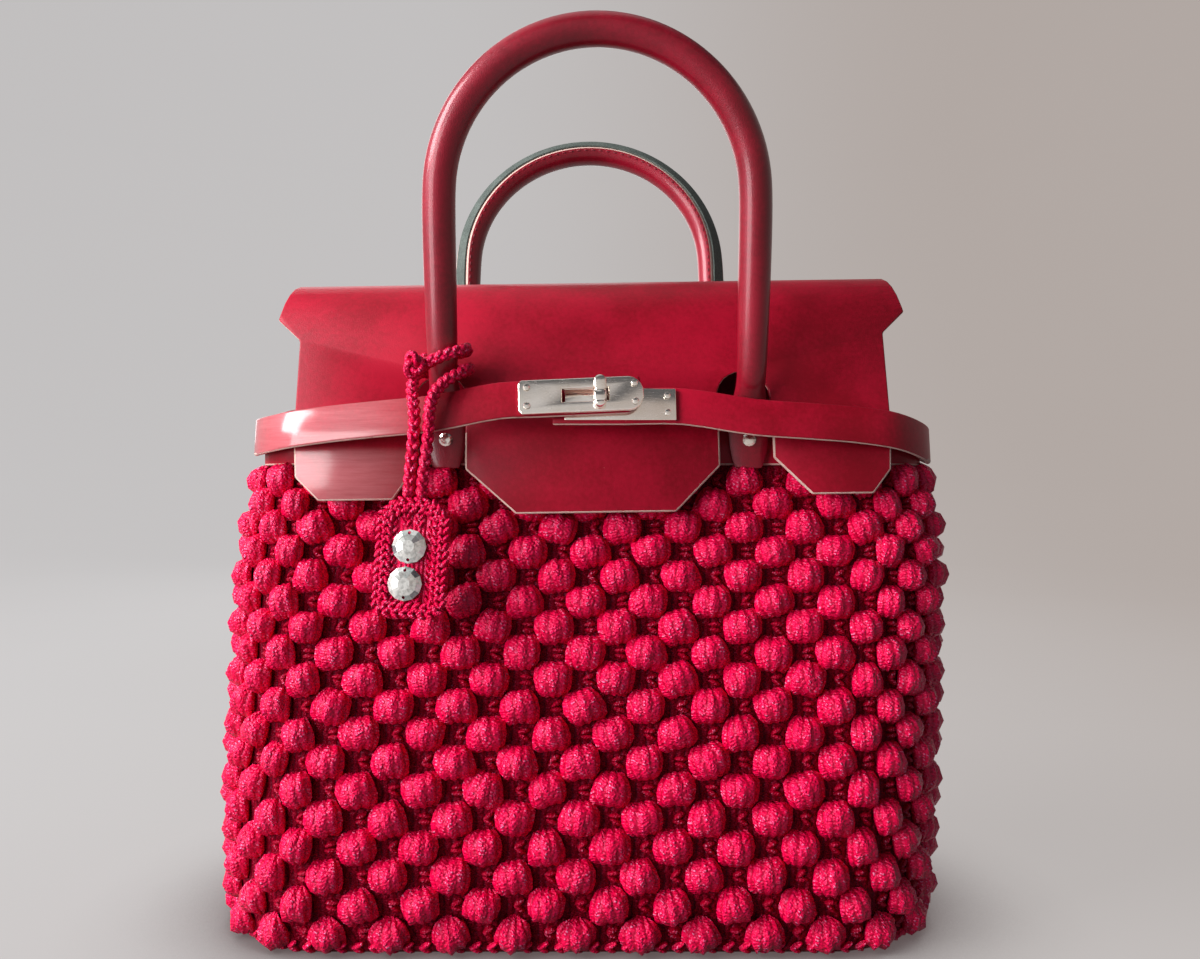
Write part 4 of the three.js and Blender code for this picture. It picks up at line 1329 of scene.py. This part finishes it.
@dataclass
class LeatherKit:
    """Collar, flap and straps, each a copy of its solid with rounded cut edges."""

    finishes: Finishes
    rounding: float = 0.7
    strap_rounding: float = 0.85
    flap_cut: float = 0.05
    band_cut: float = 0.75
    end_cut: float = 0.95
    end_area: float = 30.0
    raw_below: float = 188.0
    dyed_from: float = -0.3
    tab_dyed_from: float = 0.6
    flap_slope: float = 24.0
    slot_middle: float = 58.0
    slot_half: float = 13.0
    back_slot_level: float = 205.0
    slot_rise: float = 11.5
    slot_drop: float = 0.65
    end_rounding: float = 6.0
    end_depth: float = 0.4
    corner_length: float = 1.2
    stitch_square: float = 4.6
    stitch_gap: float = 2.4
    stitch_out: float = 16.0
    stitch_sink: float = 0.1
    stitch_size: tuple[float, float, float] = (1.05, 0.9, 0.9)
    strap_end_reach: float = 24.0

    def build(self) -> None:
        """Dresses the sheet leather."""
        plain, painted_sheen = self.finishes.leather, self.finishes.sheen_leather
        self._dress("flap", self.finishes.flap_leather, lambda face: abs(face.normal.y) < self.flap_cut)
        self._dress("leather_collar", plain, self._is_band_edge)
        # The left strap takes the leather with the painted sheen.
        for side, leather in (("left", painted_sheen), ("right", plain)):
            self._dress(f"{side}_strap", leather, lambda face: self._is_band_edge(face) or self._is_end(face))
        self._back_stitches()

    def _is_band_edge(self, face: bmesh.types.BMFace) -> bool:
        """Whether a level band's face is its cut edge."""
        return abs(face.normal.z) > self.band_cut

    def _is_end(self, face: bmesh.types.BMFace) -> bool:
        """Whether a strap's face is its cut end beside the clasp."""
        return abs(face.normal.x) > self.end_cut and face.calc_area() < self.end_area * MM * MM

    def _shows_pale(self, node: str, face: bmesh.types.BMFace) -> bool:
        """Whether a cut edge is left raw: the tabs' edges and the undersides. The rest is dyed."""
        on_tab = node == "flap" and face.calc_center_median().z < self.raw_below * MM
        return face.normal.z < (self.tab_dyed_from if on_tab else self.dyed_from)

    def _shorten_back_slots(self, bm: bmesh.types.BMesh) -> None:
        """Lowers the rounded tops of the back panel's slots, along the panel, close over the handle's feet.

        Args:
            bm: The flap's copy.
        """
        slope = math.tan(math.radians(self.flap_slope))
        for vert in bm.verts:
            over = vert.co.z - self.back_slot_level * MM
            beside = abs(abs(vert.co.x - SHIFT) - self.slot_middle * MM)
            if vert.co.y > 0 and 0 < over < self.slot_rise * MM and beside < self.slot_half * MM:
                drop = self.slot_drop * over
                vert.co.z -= drop
                vert.co.y += drop * slope

    def _round_end(self, bm: bmesh.types.BMesh) -> None:
        """Rounds the corners of the left strap's end, which lies under the front plate.

        Args:
            bm: The strap's copy.
        """
        end = max(vert.co.x for vert in bm.verts if vert.co.y < 0)
        corners = [e for e in bm.edges
                   if all(end - v.co.x < self.end_depth * MM and v.co.y < 0 for v in e.verts)
                   and abs(e.verts[0].co.y - e.verts[1].co.y) > self.corner_length * MM]
        bevelled(bm, corners, self.end_rounding * MM, 6)

    def _back_stitches(self) -> None:
        """A small square of stitches holds each strap's end to the back panel."""
        places = []
        for side, sign in (("left", -1), ("right", 1)):
            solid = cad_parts[f"{side}_strap"].data
            near = [v.co for v in solid.vertices
                    if abs(v.co.x - SHIFT) < self.strap_end_reach * MM and v.co.y > 0]
            level = sum(co.z for co in near) / len(near)
            face = max(co.y for co in near) - self.stitch_sink * MM
            for a, b in self._square():
                middle = Vector((SHIFT + sign * (self.stitch_out * MM + a), face, level + b))
                is_upright = abs(a) > abs(b)
                across = Vector((0, 0, 1)) if is_upright else Vector((1, 0, 0))
                up = Vector((-1, 0, 0)) if is_upright else Vector((0, 0, 1))
                places.append((0, placing(middle, across, up, Vector((0, -1, 0))) @ sized(*self.stitch_size)))
        repeated("strap_stitches", [stitch_grain()], places, self.finishes.thread)

    def _square(self) -> list[tuple[float, float]]:
        """Spaces stitches round a square.

        Returns:
            Each stitch's place from the square's middle, in metres.
        """
        half = self.stitch_square
        count = round(2 * half / self.stitch_gap)
        line = [(-half + (i + 0.5) * 2 * half / count) * MM for i in range(count)]
        edges = (half * MM, -half * MM)
        return [(a, edge) for edge in edges for a in line] + [(edge, a) for edge in edges for a in line]

    def _dress(self, node: str, leather: bpy.types.Material,
               is_cut: Callable[[bmesh.types.BMFace], bool]) -> None:
        """Replaces one solid by its softened copy, with pale faces where the sheet is cut.

        Args:
            node: The solid's name.
            leather: What it is made of.
            is_cut: Whether a face of the solid is a cut edge.
        """
        bm = merged_copy(node)
        if node == "left_strap":
            self._round_end(bm)
        if node == "flap":
            self._shorten_back_slots(bm)
        mark_faces(bm, 1, is_cut)
        rounding = self.strap_rounding if "strap" in node else self.rounding
        for face in soften(bm, rounding * MM):
            face.material_index = 1
        mark_faces(bm, 0, lambda face: not self._shows_pale(node, face))
        piece = dressed(f"{node}_leather", bm, [leather, self.finishes.raw])
        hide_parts(node)


@dataclass
class Handles:
    """The two rolled handles, their backing strips and their rivets."""

    finishes: Finishes
    lean: float = 10.0
    roundness: float = 0.28
    shift: float = 2.0
    foot_out: float = 44.2
    foot_level: float = 200.0
    arch_level: float = 78.0
    arch_radius: float = 58.0
    twist_from: float = 14.0
    twist_to: float = 58.0
    front_twist: float = 12.0
    back_twist: float = 47.0
    flat_side: float = 0.93
    crease_angle: float = 60.0
    roll_crease: float = 0.75
    strip_crease: float = 0.95
    seam_radius: float = 52.4
    seam_out: float = -2.9
    seam_foot: float = 44.0
    seam_gap: float = 3.0
    leg_stitches: int = 10
    arch_stitches: int = 50
    stitch_share: float = 0.3
    stitch_width: float = 1.0

    def build(self) -> None:
        """Dresses both handles."""
        for name, turn in (("front", 1), ("back", -1)):
            self._rolled(name, turn)
            self._backing(name, turn)
        self._stitches()
        for number in range(1, 5):
            plain_metal(f"handle_rivet_{number}", self.finishes.nickel)

    def _spot(self, across: float, up: float, out: float, turn: int) -> Vector:
        """A place by a handle's leaning plane.

        Args:
            across: From the handle's middle, in millimetres.
            up: Along the plane from the feet.
            out: Away from the bag.
            turn: 1 for the front handle, -1 for the back one, which is turned half round.

        Returns:
            The place in the frame.
        """
        tilt = math.radians(self.lean)
        y = -self.foot_out - up * math.sin(tilt) - out * math.cos(tilt)
        z = self.foot_level + up * math.cos(tilt) - out * math.sin(tilt)
        return at(turn * (across + self.shift), turn * y, z)

    def _twisted(self, place: Vector, turn: int) -> Vector:
        """Turns a place about the handle's middle line, so that the flat side looks outwards over the arch.

        Args:
            place: The place in the frame.
            turn: 1 for the front handle, -1 for the back one.

        Returns:
            The turned place.
        """
        tilt = math.radians(self.lean)
        across = turn * (place.x - SHIFT) / MM - self.shift
        back = turn * place.y / MM + self.foot_out
        rise = place.z / MM - self.foot_level
        up = rise * math.cos(tilt) - back * math.sin(tilt)
        out = -back * math.cos(tilt) - rise * math.sin(tilt)
        ray = Vector((across, max(up - self.arch_level, 0.0)))
        radial = ray.length - self.arch_radius
        full = self.front_twist if turn > 0 else self.back_twist
        angle = math.radians(full) * eased((up - self.twist_from) / (self.twist_to - self.twist_from))
        turned = radial * math.cos(angle) - out * math.sin(angle)
        ray *= (self.arch_radius + turned) / ray.length
        return self._spot(ray.x, ray.y + min(up, self.arch_level),
                          radial * math.sin(angle) + out * math.cos(angle), turn)

    def _seam(self, turn: int) -> Way:
        """Draws the sewing line: up one leg, round the arch's inner side and down the other leg.

        Args:
            turn: 1 for the front handle, -1 for the back one.

        Returns:
            The ends of its stitches.
        """
        leg = steps(self.seam_foot, self.arch_level - self.seam_gap, self.leg_stitches)
        line = [(-self.seam_radius, up) for up in leg]
        for angle in steps(math.pi, 0.0, self.arch_stitches + 1):
            line.append((self.seam_radius * math.cos(angle),
                         self.arch_level + self.seam_radius * math.sin(angle)))
        line += [(self.seam_radius, up) for up in reversed(leg)]
        return [self._twisted(self._spot(across, up, self.seam_out, turn), turn) for across, up in line]

    def _stitches(self) -> None:
        """Short stitches along the inner curve of both handles."""
        places = []
        for turn in (1, -1):
            line = self._seam(turn)
            centre = self._spot(0, self.arch_level, 0, turn)
            for a, b in zip(line, line[1:]):
                middle = (a + b) / 2
                ahead = (b - a).normalized()
                out = centre - middle
                out = (out - ahead * out.dot(ahead)).normalized()
                size = sized(self.stitch_share * (b - a).length / MM, self.stitch_width, self.stitch_width)
                places.append((0, placing(middle, ahead, out.cross(ahead), out) @ size))
        repeated("handle_stitches", [stitch_grain()], places, self.finishes.thread)

    def _rolled(self, name: str, turn: int) -> None:
        """Makes one rolled handle. Its flat side shows the leather's cut edges.

        Args:
            name: front or back.
            turn: 1 for the front handle, -1 for the back one.
        """
        tilt = math.radians(self.lean)
        outward = Vector((0, -turn * math.cos(tilt), -math.sin(tilt)))
        bm = merged_copy(f"{name}_handle", whole_faces=False)
        mark_faces(bm, 1, lambda face: face.normal.dot(outward) < -self.flat_side)
        for vert in bm.verts:
            vert.co = self._twisted(vert.co + vert.normal * self.roundness * MM, turn)
        self._crease(bm, self.roll_crease)
        materials = [self.finishes.handle_leather, self.finishes.raw]
        piece = dressed(f"{name}_handle_roll", bm, materials)
        self._smooth(piece)
        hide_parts(f"{name}_handle")

    def _backing(self, name: str, turn: int) -> None:
        """Makes the grey strip on a handle's flat side.

        Args:
            name: front or back.
            turn: 1 for the front handle, -1 for the back one.
        """
        bm = merged_copy(f"{name}_handle_backing", whole_faces=False)
        for vert in bm.verts:
            vert.co = self._twisted(vert.co, turn)
        self._crease(bm, self.strip_crease)
        piece = dressed(f"{name}_backing_strip", bm, [self.finishes.backing])
        self._smooth(piece)
        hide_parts(f"{name}_handle_backing")

    def _crease(self, bm: bmesh.types.BMesh, sharpness: float) -> None:
        """Keeps the edges of the flat side and the cut ends through the smoothing.

        Args:
            bm: The handle's mesh.
            sharpness: How much of the edge is kept, from 0 to 1.
        """
        crease = bm.edges.layers.float.new("crease_edge")
        for edge in bm.edges:
            kinds = {face.material_index for face in edge.link_faces}
            if len(kinds) > 1 or edge.calc_face_angle(0.0) > math.radians(self.crease_angle):
                edge[crease] = sharpness

    @staticmethod
    def _smooth(piece: bpy.types.Object) -> None:
        """Rounds a handle's piece along the arch."""
        rounded = piece.modifiers.new("rounded", "SUBSURF")
        rounded.levels = rounded.render_levels = 2


def plain_metal(node: str, material: bpy.types.Material) -> None:
    """Gives a solid that keeps its shape a better metal.

    Args:
        node: The solid's name.
        material: The metal.
    """
    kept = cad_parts[node].data
    kept.materials.clear()
    kept.materials.append(material)


@dataclass
class Clasp:
    """The two polished plates, their rivets and the turning knob."""

    finishes: Finishes
    front_rounding: float = 0.18
    rear_rounding: float = 0.25
    knob_rounding: float = 0.9
    grooves: tuple[float, ...] = (0.12, -0.5)
    groove_half: float = 0.55
    groove_depth: float = 0.55
    groove_waist: float = 0.74
    groove_reach: float = 0.3

    def build(self) -> None:
        """Dresses the clasp."""
        self._polished("clasp_front_plate", self.front_rounding, BAG)
        self._polished("clasp_rear_plate", self.rear_rounding, BAG)
        self._polished("turn_lock_knob", self.knob_rounding, KNOB)
        for name, count in (("front", 4), ("rear", 2)):
            for number in range(1, count + 1):
                plain_metal(f"{name}_plate_rivet_{number}", self.finishes.nickel)

    def _polished(self, node: str, rounding: float, body: str) -> None:
        """Replaces a solid by its copy with rounded edges.

        Args:
            node: The solid's name.
            rounding: The rounding's width.
            body: The body that carries it.
        """
        bm = merged_copy(node)
        soften(bm, rounding * MM, sharper_than=25.0, segments=3)
        if body == KNOB:
            self._groove(bm)
        piece = dressed(f"{node}_polished", bm, [self.finishes.nickel], body, sharp=35.0)
        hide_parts(node)

    def _groove(self, bm: bmesh.types.BMesh) -> None:
        """Cuts the knob's grooves, which leave it with three lobes.

        Args:
            bm: The knob's copy.
        """
        low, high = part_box("turn_lock_knob")
        middle = (low + high) / 2
        front = middle.y + self.groove_reach * (high.y - middle.y)
        for share in self.grooves:
            level = middle.z + share * (high.z - low.z) / 2
            for side in (-1, 0, 1):
                bmesh.ops.bisect_plane(bm, geom=bm.verts[:] + bm.edges[:] + bm.faces[:],
                                       plane_co=(0, 0, level + side * self.groove_half * MM),
                                       plane_no=(0, 0, 1), dist=1e-6)
            for vert in bm.verts:
                if abs(vert.co.z - level) < 0.02 * MM and vert.co.y < front:
                    vert.co.x = middle.x + (vert.co.x - middle.x) * self.groove_waist
                    vert.co.y += self.groove_depth * MM


# The tag on its cord


TagStitch = tuple[StitchV, Vector, float]


@dataclass
class TagOnCord:
    """The crocheted tag, its crystals and the chain cord that loops it to the handle."""

    finishes: Finishes
    cord_diameter: float = 4.9
    chain_pitch: float = 9.6
    knot_place: tuple[float, float, float] = (-64.8, -58.2, 215.6)
    knot_radius: float = 3.9
    tag_width: float = 25.0
    tag_height: float = 42.4
    top_corner: float = 6.0
    foot_corner: float = 2.0
    tag_lean: float = 5.5
    tag_swing: float = -2.5
    tag_top: tuple[float, float, float] = (-63.9, -59.7, 166.9)
    bed_level: float = 0.9
    border_level: float = 1.45
    core_depth: float = 1.6
    stitch_pitch: float = 3.0
    stones: tuple[tuple[float, float], ...] = ((-0.8, -17.2), (-1.6, -30.6))
    strand_share: float = 0.48
    plait_lift: float = 0.7
    knot_strand: float = 0.25
    knot_stretch: tuple[float, float, float] = (0.8, 0.9, 1.2)
    border_insets: tuple[float, float] = (1.3, 3.4)
    border_v: StitchV = StitchV((1.995, 2.415, 2.415), ahead=0.0, aside=0.7875, turn=32.0, looseness=6.8755)
    bed_v: StitchV = StitchV((1.615, 1.955, 1.955), ahead=0.0, aside=0.6375, turn=32.0, looseness=6.8755)
    bed_inset: float = 5.4
    bed_ends: tuple[float, float] = (6.2, 6.0)
    stone_reach: float = 6.6
    core_inset: float = 0.9
    core_strand: float = 1.6
    table_cut: float = 0.9
    facet_reflections: tuple[int, ...] = (0, 0, 1, 1, 2, 3, 4)
    seed: int = 5
    left_route: tuple[tuple[float, float, float], ...] = (
        (-64.8, -45.0, 219.3), (-61.2, -39.3, 220.6), (-55.0, -37.6, 221.8), (-48.9, -39.9, 222.8),
        (-46.9, -45.8, 223.0), (-47.7, -51.3, 222.0), (-52.0, -55.3, 220.3), (-57.5, -56.4, 218.0),
        (-62.5, -55.0, 215.2), (-65.0, -56.3, 211.0), (-65.3, -58.8, 206.5), (-64.4, -60.9, 201.5),
        (-63.9, -61.7, 195.0), (-64.4, -61.5, 187.0), (-65.3, -60.9, 179.0), (-66.1, -60.1, 171.5),
        (-66.2, -59.7, 168.0),
    )
    right_route: tuple[tuple[float, float, float], ...] = (
        (-66.2, -46.2, 214.2), (-64.0, -40.0, 214.8), (-58.8, -37.6, 215.4), (-52.5, -37.9, 215.8),
        (-47.4, -41.2, 215.9), (-46.2, -47.0, 215.4), (-47.3, -52.0, 214.0), (-51.3, -55.6, 211.6),
        (-55.4, -57.8, 208.0), (-57.9, -59.9, 203.3), (-58.6, -61.5, 197.5), (-58.9, -61.7, 190.0),
        (-60.0, -61.0, 182.0), (-61.2, -60.3, 174.0), (-61.6, -59.7, 167.3),
    )

    def build(self) -> None:
        """Makes the tag and its crystals, and the two runs of chain that carry them."""
        carried = [self._tag(), self._knot()] + [self._crystal(name) for name in ("upper", "lower")]
        for name, route in (("left", self.left_route), ("right", self.right_route)):
            self._cord(name, [at(*point) for point in route])

    def _cord(self, name: str, route: Way) -> None:
        """Makes one run: three strands that plait round the route.

        Args:
            name: left or right.
            route: The main points of its way.
        """
        way = smooth_way(route, 10)
        length = sum((b - a).length for a, b in zip(way, way[1:]))
        frames = frames_along(way)
        turns = length / (self.chain_pitch * MM)
        reach = self.cord_diameter / 2 * MM
        thick = self.strand_share * reach
        bm = bmesh.new()
        for strand in range(3):
            line = []
            for i, (point, (side, up)) in enumerate(zip(way, frames)):
                phase = math.tau * (turns * i / (len(way) - 1) + strand / 3)
                swing = (reach - thick) * math.sin(phase)
                lift = (reach - thick) * self.plait_lift * math.sin(2 * phase)
                line.append(point + side * swing + up * lift)
            add_tube(bm, line, thick)
        closed_right(bm)
        piece = dressed(f"tag_chain_{name}", bm, [self.finishes.cord], sharp=NEVER_SHARP)
        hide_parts(f"tag_cord_{name}")

    def _knot(self) -> bpy.types.Object:
        """Makes the lump of a knot where the chain is drawn together at the handle.

        Returns:
            The piece.
        """
        middle = at(*self.knot_place)
        thick = self.knot_strand * self.cord_diameter * MM
        wide, deep, tall = self.knot_stretch
        line = []
        for turn in steps(0.0, math.tau, 40):
            reach = self.knot_radius * MM * (2 + math.cos(3 * turn)) / 3
            line.append(middle + Vector((wide * reach * math.cos(2 * turn), deep * thick * math.sin(3 * turn),
                                         tall * reach * math.sin(2 * turn))))
        bm = bmesh.new()
        add_tube(bm, line, thick)
        closed_right(bm)
        return dressed("tag_knot", bm, [self.finishes.cord], sharp=NEVER_SHARP)

    def _frame(self) -> Matrix:
        """Finds the tag's own directions: across, up and outwards from the middle of its top edge.

        Returns:
            The placing of the tag.
        """
        lean = Matrix.Rotation(math.radians(90 - self.tag_lean), 4, "X")
        swing = Matrix.Rotation(math.radians(self.tag_swing), 4, "Z")
        return Matrix.Translation(at(*self.tag_top)) @ lean @ swing

    def _outline(self, inset: float) -> list[tuple[float, float]]:
        """Draws the tag's outline, anticlockwise.

        Args:
            inset: How far it is moved inwards.

        Returns:
            Its corners in millimetres.
        """
        x = self.tag_width / 2 - inset
        low, high = inset - self.tag_height, -inset
        cut = self.top_corner - 0.5 * inset
        foot = self.foot_corner
        return [(-x + foot, low), (x - foot, low), (x, low + foot), (x, high - cut), (x - cut, high),
                (-x + cut, high), (-x, high - cut), (-x, low + foot)]

    def _walk(self, inset: float) -> list[tuple[float, float, float]]:
        """Spaces stitches evenly along an inset outline.

        Args:
            inset: How far the outline is moved inwards.

        Returns:
            Each place, with the way's direction in radians.
        """
        corners = self._outline(inset)
        found = []
        for (x0, y0), (x1, y1) in zip(corners, corners[1:] + corners[:1]):
            count = max(round(math.hypot(x1 - x0, y1 - y0) / self.stitch_pitch), 1)
            for i in range(count):
                t = (i + 0.5) / count
                found.append((x0 + (x1 - x0) * t, y0 + (y1 - y0) * t, math.atan2(y1 - y0, x1 - x0)))
        return found

    def _core(self) -> bpy.types.Mesh:
        """Makes the flat plate inside the stitches.

        Returns:
            The template.
        """
        low, high = -self.core_depth * MM, self.bed_level * MM
        outline = [(x * MM, y * MM) for x, y in self._outline(self.core_inset)]
        bm = bmesh.new()
        first = ring_start(bm, [Vector((x, y, low)) for x, y in outline])
        last = pulled(bm, first, [Vector((x, y, high)) for x, y in outline])
        bmesh.ops.contextual_create(bm, geom=first)
        bmesh.ops.contextual_create(bm, geom=last)
        closed_right(bm)
        where = {vert: (vert.co.x / (self.core_strand * MM), vert.co.y / PLY_PITCH) for vert in bm.verts}
        paint_strands(bm, where, 0)
        return kept_mesh("tag_core", bm)

    def _border(self) -> list[TagStitch]:
        """The border's stitches, on both faces of the tag."""
        return [(self.border_v, Vector((x, y, level)) * MM, heading)
                for inset in self.border_insets for x, y, heading in self._walk(inset)
                for level in (-self.border_level, self.border_level)]

    def _bed(self) -> list[TagStitch]:
        """Lays out the small stitches inside the border.

        Returns:
            The stitches, on the front only where no crystal lies.
        """
        half = self.tag_width / 2 - self.bed_inset
        top, foot = self.bed_ends
        found = []
        for x in steps(-half, half, 4):
            for y in steps(-top, foot - self.tag_height, 12):
                is_clear = all(math.hypot(x - cx, y - cy) > self.stone_reach for cx, cy in self.stones)
                levels = (self.bed_level, -self.core_depth) if is_clear else (-self.core_depth,)
                found += [(self.bed_v, Vector((x, y, level)) * MM, math.pi / 2) for level in levels]
        return found

    def _tag(self) -> bpy.types.Object:
        """Makes the crocheted tag: a border two stitches wide round a bed of small ones.

        Returns:
            The piece.
        """
        chance = random.Random(self.seed)
        base = self._frame()
        places = [(1, base)]
        for form, spot, heading in self._border() + self._bed():
            middle = base @ Matrix.Translation(spot) @ Matrix.Rotation(heading, 4, "Z")
            places += form.placed(middle, chance)
        templates = [stitch_grain(), self._core()]
        piece = repeated("tag_crochet", templates, places, self.finishes.cord)
        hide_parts("tag")
        return piece

    def _crystal(self, name: str) -> bpy.types.Object:
        """Makes a crystal whose flat facets each have their own tint as a painted reflection.

        Args:
            name: upper or lower.

        Returns:
            The piece.
        """
        chance = random.Random(self.seed + len(name))
        bm = merged_copy(f"crystal_{name}")
        bm.normal_update()
        # Painted reflections: the table gets the near-white tint, the other facets a tint drawn at random.
        for face in bm.faces:
            is_table = face.normal.y < -self.table_cut
            face.material_index = 0 if is_table else chance.choice(self.facet_reflections)
        piece = dressed(f"crystal_{name}_cut", bm, self.finishes.crystal, sharp=8.0)
        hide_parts(f"crystal_{name}")
        return piece


def smooth_way(points: Way, per_span: int) -> Way:
    """A smooth line through the points.

    Args:
        points: What it passes through.
        per_span: Steps between two of them.

    Returns:
        The line's points.
    """
    padded = [2 * points[0] - points[1], *points, 2 * points[-1] - points[-2]]
    way = []
    for i in range(1, len(padded) - 2):
        p0, p1, p2, p3 = padded[i - 1:i + 3]
        for j in range(per_span):
            t = j / per_span
            way.append(0.5 * ((2 * p1) + (p2 - p0) * t + (2 * p0 - 5 * p1 + 4 * p2 - p3) * t * t
                              + (3 * p1 - p0 - 3 * p2 + p3) * t ** 3))
    way.append(points[-1].copy())
    return way


# The stage


@dataclass(frozen=True)
class Lamp:
    """A square soft light aimed at the bag's middle. Its lengths are in metres."""

    name: str
    place: tuple[float, float, float]
    size: float
    power: float
    tint: Colour = (1.0, 1.0, 1.0)
    aim: tuple[float, float, float] = (0.0, 0.0, 0.15)

    def hang(self) -> None:
        """Makes the light."""
        data = bpy.data.lights.new(self.name, "AREA")
        data.shape = "SQUARE"
        data.size = self.size
        data.energy = self.power
        data.color = self.tint
        lamp = bpy.data.objects.new(self.name, data)
        lamp.location = self.place
        lamp.rotation_euler = (Vector(self.aim) - Vector(self.place)).to_track_quat("-Z", "Y").to_euler()
        bpy.context.scene.collection.objects.link(lamp)


@dataclass
class Stage:
    """Camera, soft light and a pale floor that turns up into a backdrop far behind."""

    finishes: Finishes
    camera_place: tuple[float, float, float] = (3.0, -422.0, 174.0)
    lens: float = 30.0
    sensor: float = 36.0
    floor_radius: float = 2.6
    rise_radius: float = 1.3
    backdrop_height: float = 1.2
    daylight: Colour = (0.93, 0.94, 1.0)
    daylight_strength: float = 0.1
    lamps: tuple[Lamp, ...] = (
        Lamp("window", (-1.02, -0.98, 0.30), 0.75, 16.0, (1.0, 0.985, 0.97)),
        Lamp("key", (-1.38, -0.50, 1.0), 0.8, 40.0, (1.0, 0.985, 0.97)),
        Lamp("top", (-0.2, 0.1, 1.2), 0.9, 1.6),
        Lamp("behind", (-0.4, 1.2, 0.7), 1.0, 5.0),
    )

    def camera(self) -> None:
        """The camera at the photograph's angle, level and square to the front."""
        data = bpy.data.cameras.new("camera")
        data.lens = self.lens
        data.sensor_width = self.sensor
        data.sensor_fit = "HORIZONTAL"
        data.clip_start = 0.01
        data.clip_end = 20.0
        camera = bpy.data.objects.new("camera", data)
        camera.location = at(*self.camera_place)
        camera.rotation_euler = (math.pi / 2, 0.0, 0.0)
        bpy.context.scene.collection.objects.link(camera)
        bpy.context.scene.camera = camera

    def floor(self) -> None:
        """A round floor whose rim curves up, out of the way of every view."""
        curve = self.floor_radius - self.rise_radius
        profile = [(0.0, 0.0), (self.rise_radius, 0.0)]
        for angle in steps(10, 80, 8):
            t = math.radians(angle)
            profile.append((self.rise_radius + curve * math.sin(t), curve * (1 - math.cos(t))))
        profile.append((self.floor_radius, curve + self.backdrop_height))
        bm = bmesh.new()
        line = [bm.verts.new((x, 0.0, z)) for x, z in profile]
        for a, b in zip(line, line[1:]):
            bm.edges.new((a, b))
        bmesh.ops.spin(bm, geom=bm.verts[:] + bm.edges[:], cent=(0, 0, 0), axis=(0, 0, 1),
                       angle=math.tau, steps=64, use_merge=True)
        bmesh.ops.remove_doubles(bm, verts=bm.verts, dist=1e-5)
        closed_right(bm)
        if bm.faces[0].normal.z < 0:
            bmesh.ops.reverse_faces(bm, faces=bm.faces)
        mesh = kept_mesh("floor", bm)
        mesh.shade_smooth()
        mesh.materials.append(self.finishes.floor)
        floor = bpy.data.objects.new("floor", mesh)
        floor.visible_diffuse = False
        bpy.context.scene.collection.objects.link(floor)

    def light(self) -> None:
        """A wide window at the upper left, a weak fill and a soft top light."""
        for lamp in self.lamps:
            lamp.hang()
        world = bpy.data.worlds.new("studio")
        world.use_nodes = True
        sky = world.node_tree.nodes["Background"].inputs
        sky["Color"].default_value = (*self.daylight, 1.0)
        sky["Strength"].default_value = self.daylight_strength
        bpy.context.scene.world = world
        bpy.context.scene.view_settings.view_transform = "Standard"


def main() -> None:
    """Builds the stage and every piece of the bag."""
    logging.basicConfig(level=logging.INFO, format="%(name)s %(message)s")
    finishes = Finishes()
    stage = Stage(finishes)
    stage.camera()
    TagOnCord(finishes).build()
    CrochetBody(finishes).build()
    LeatherKit(finishes).build()
    Handles(finishes).build()
    Clasp(finishes).build()
    stage.floor()
    stage.light()


if __name__ == "__main__":
    main()
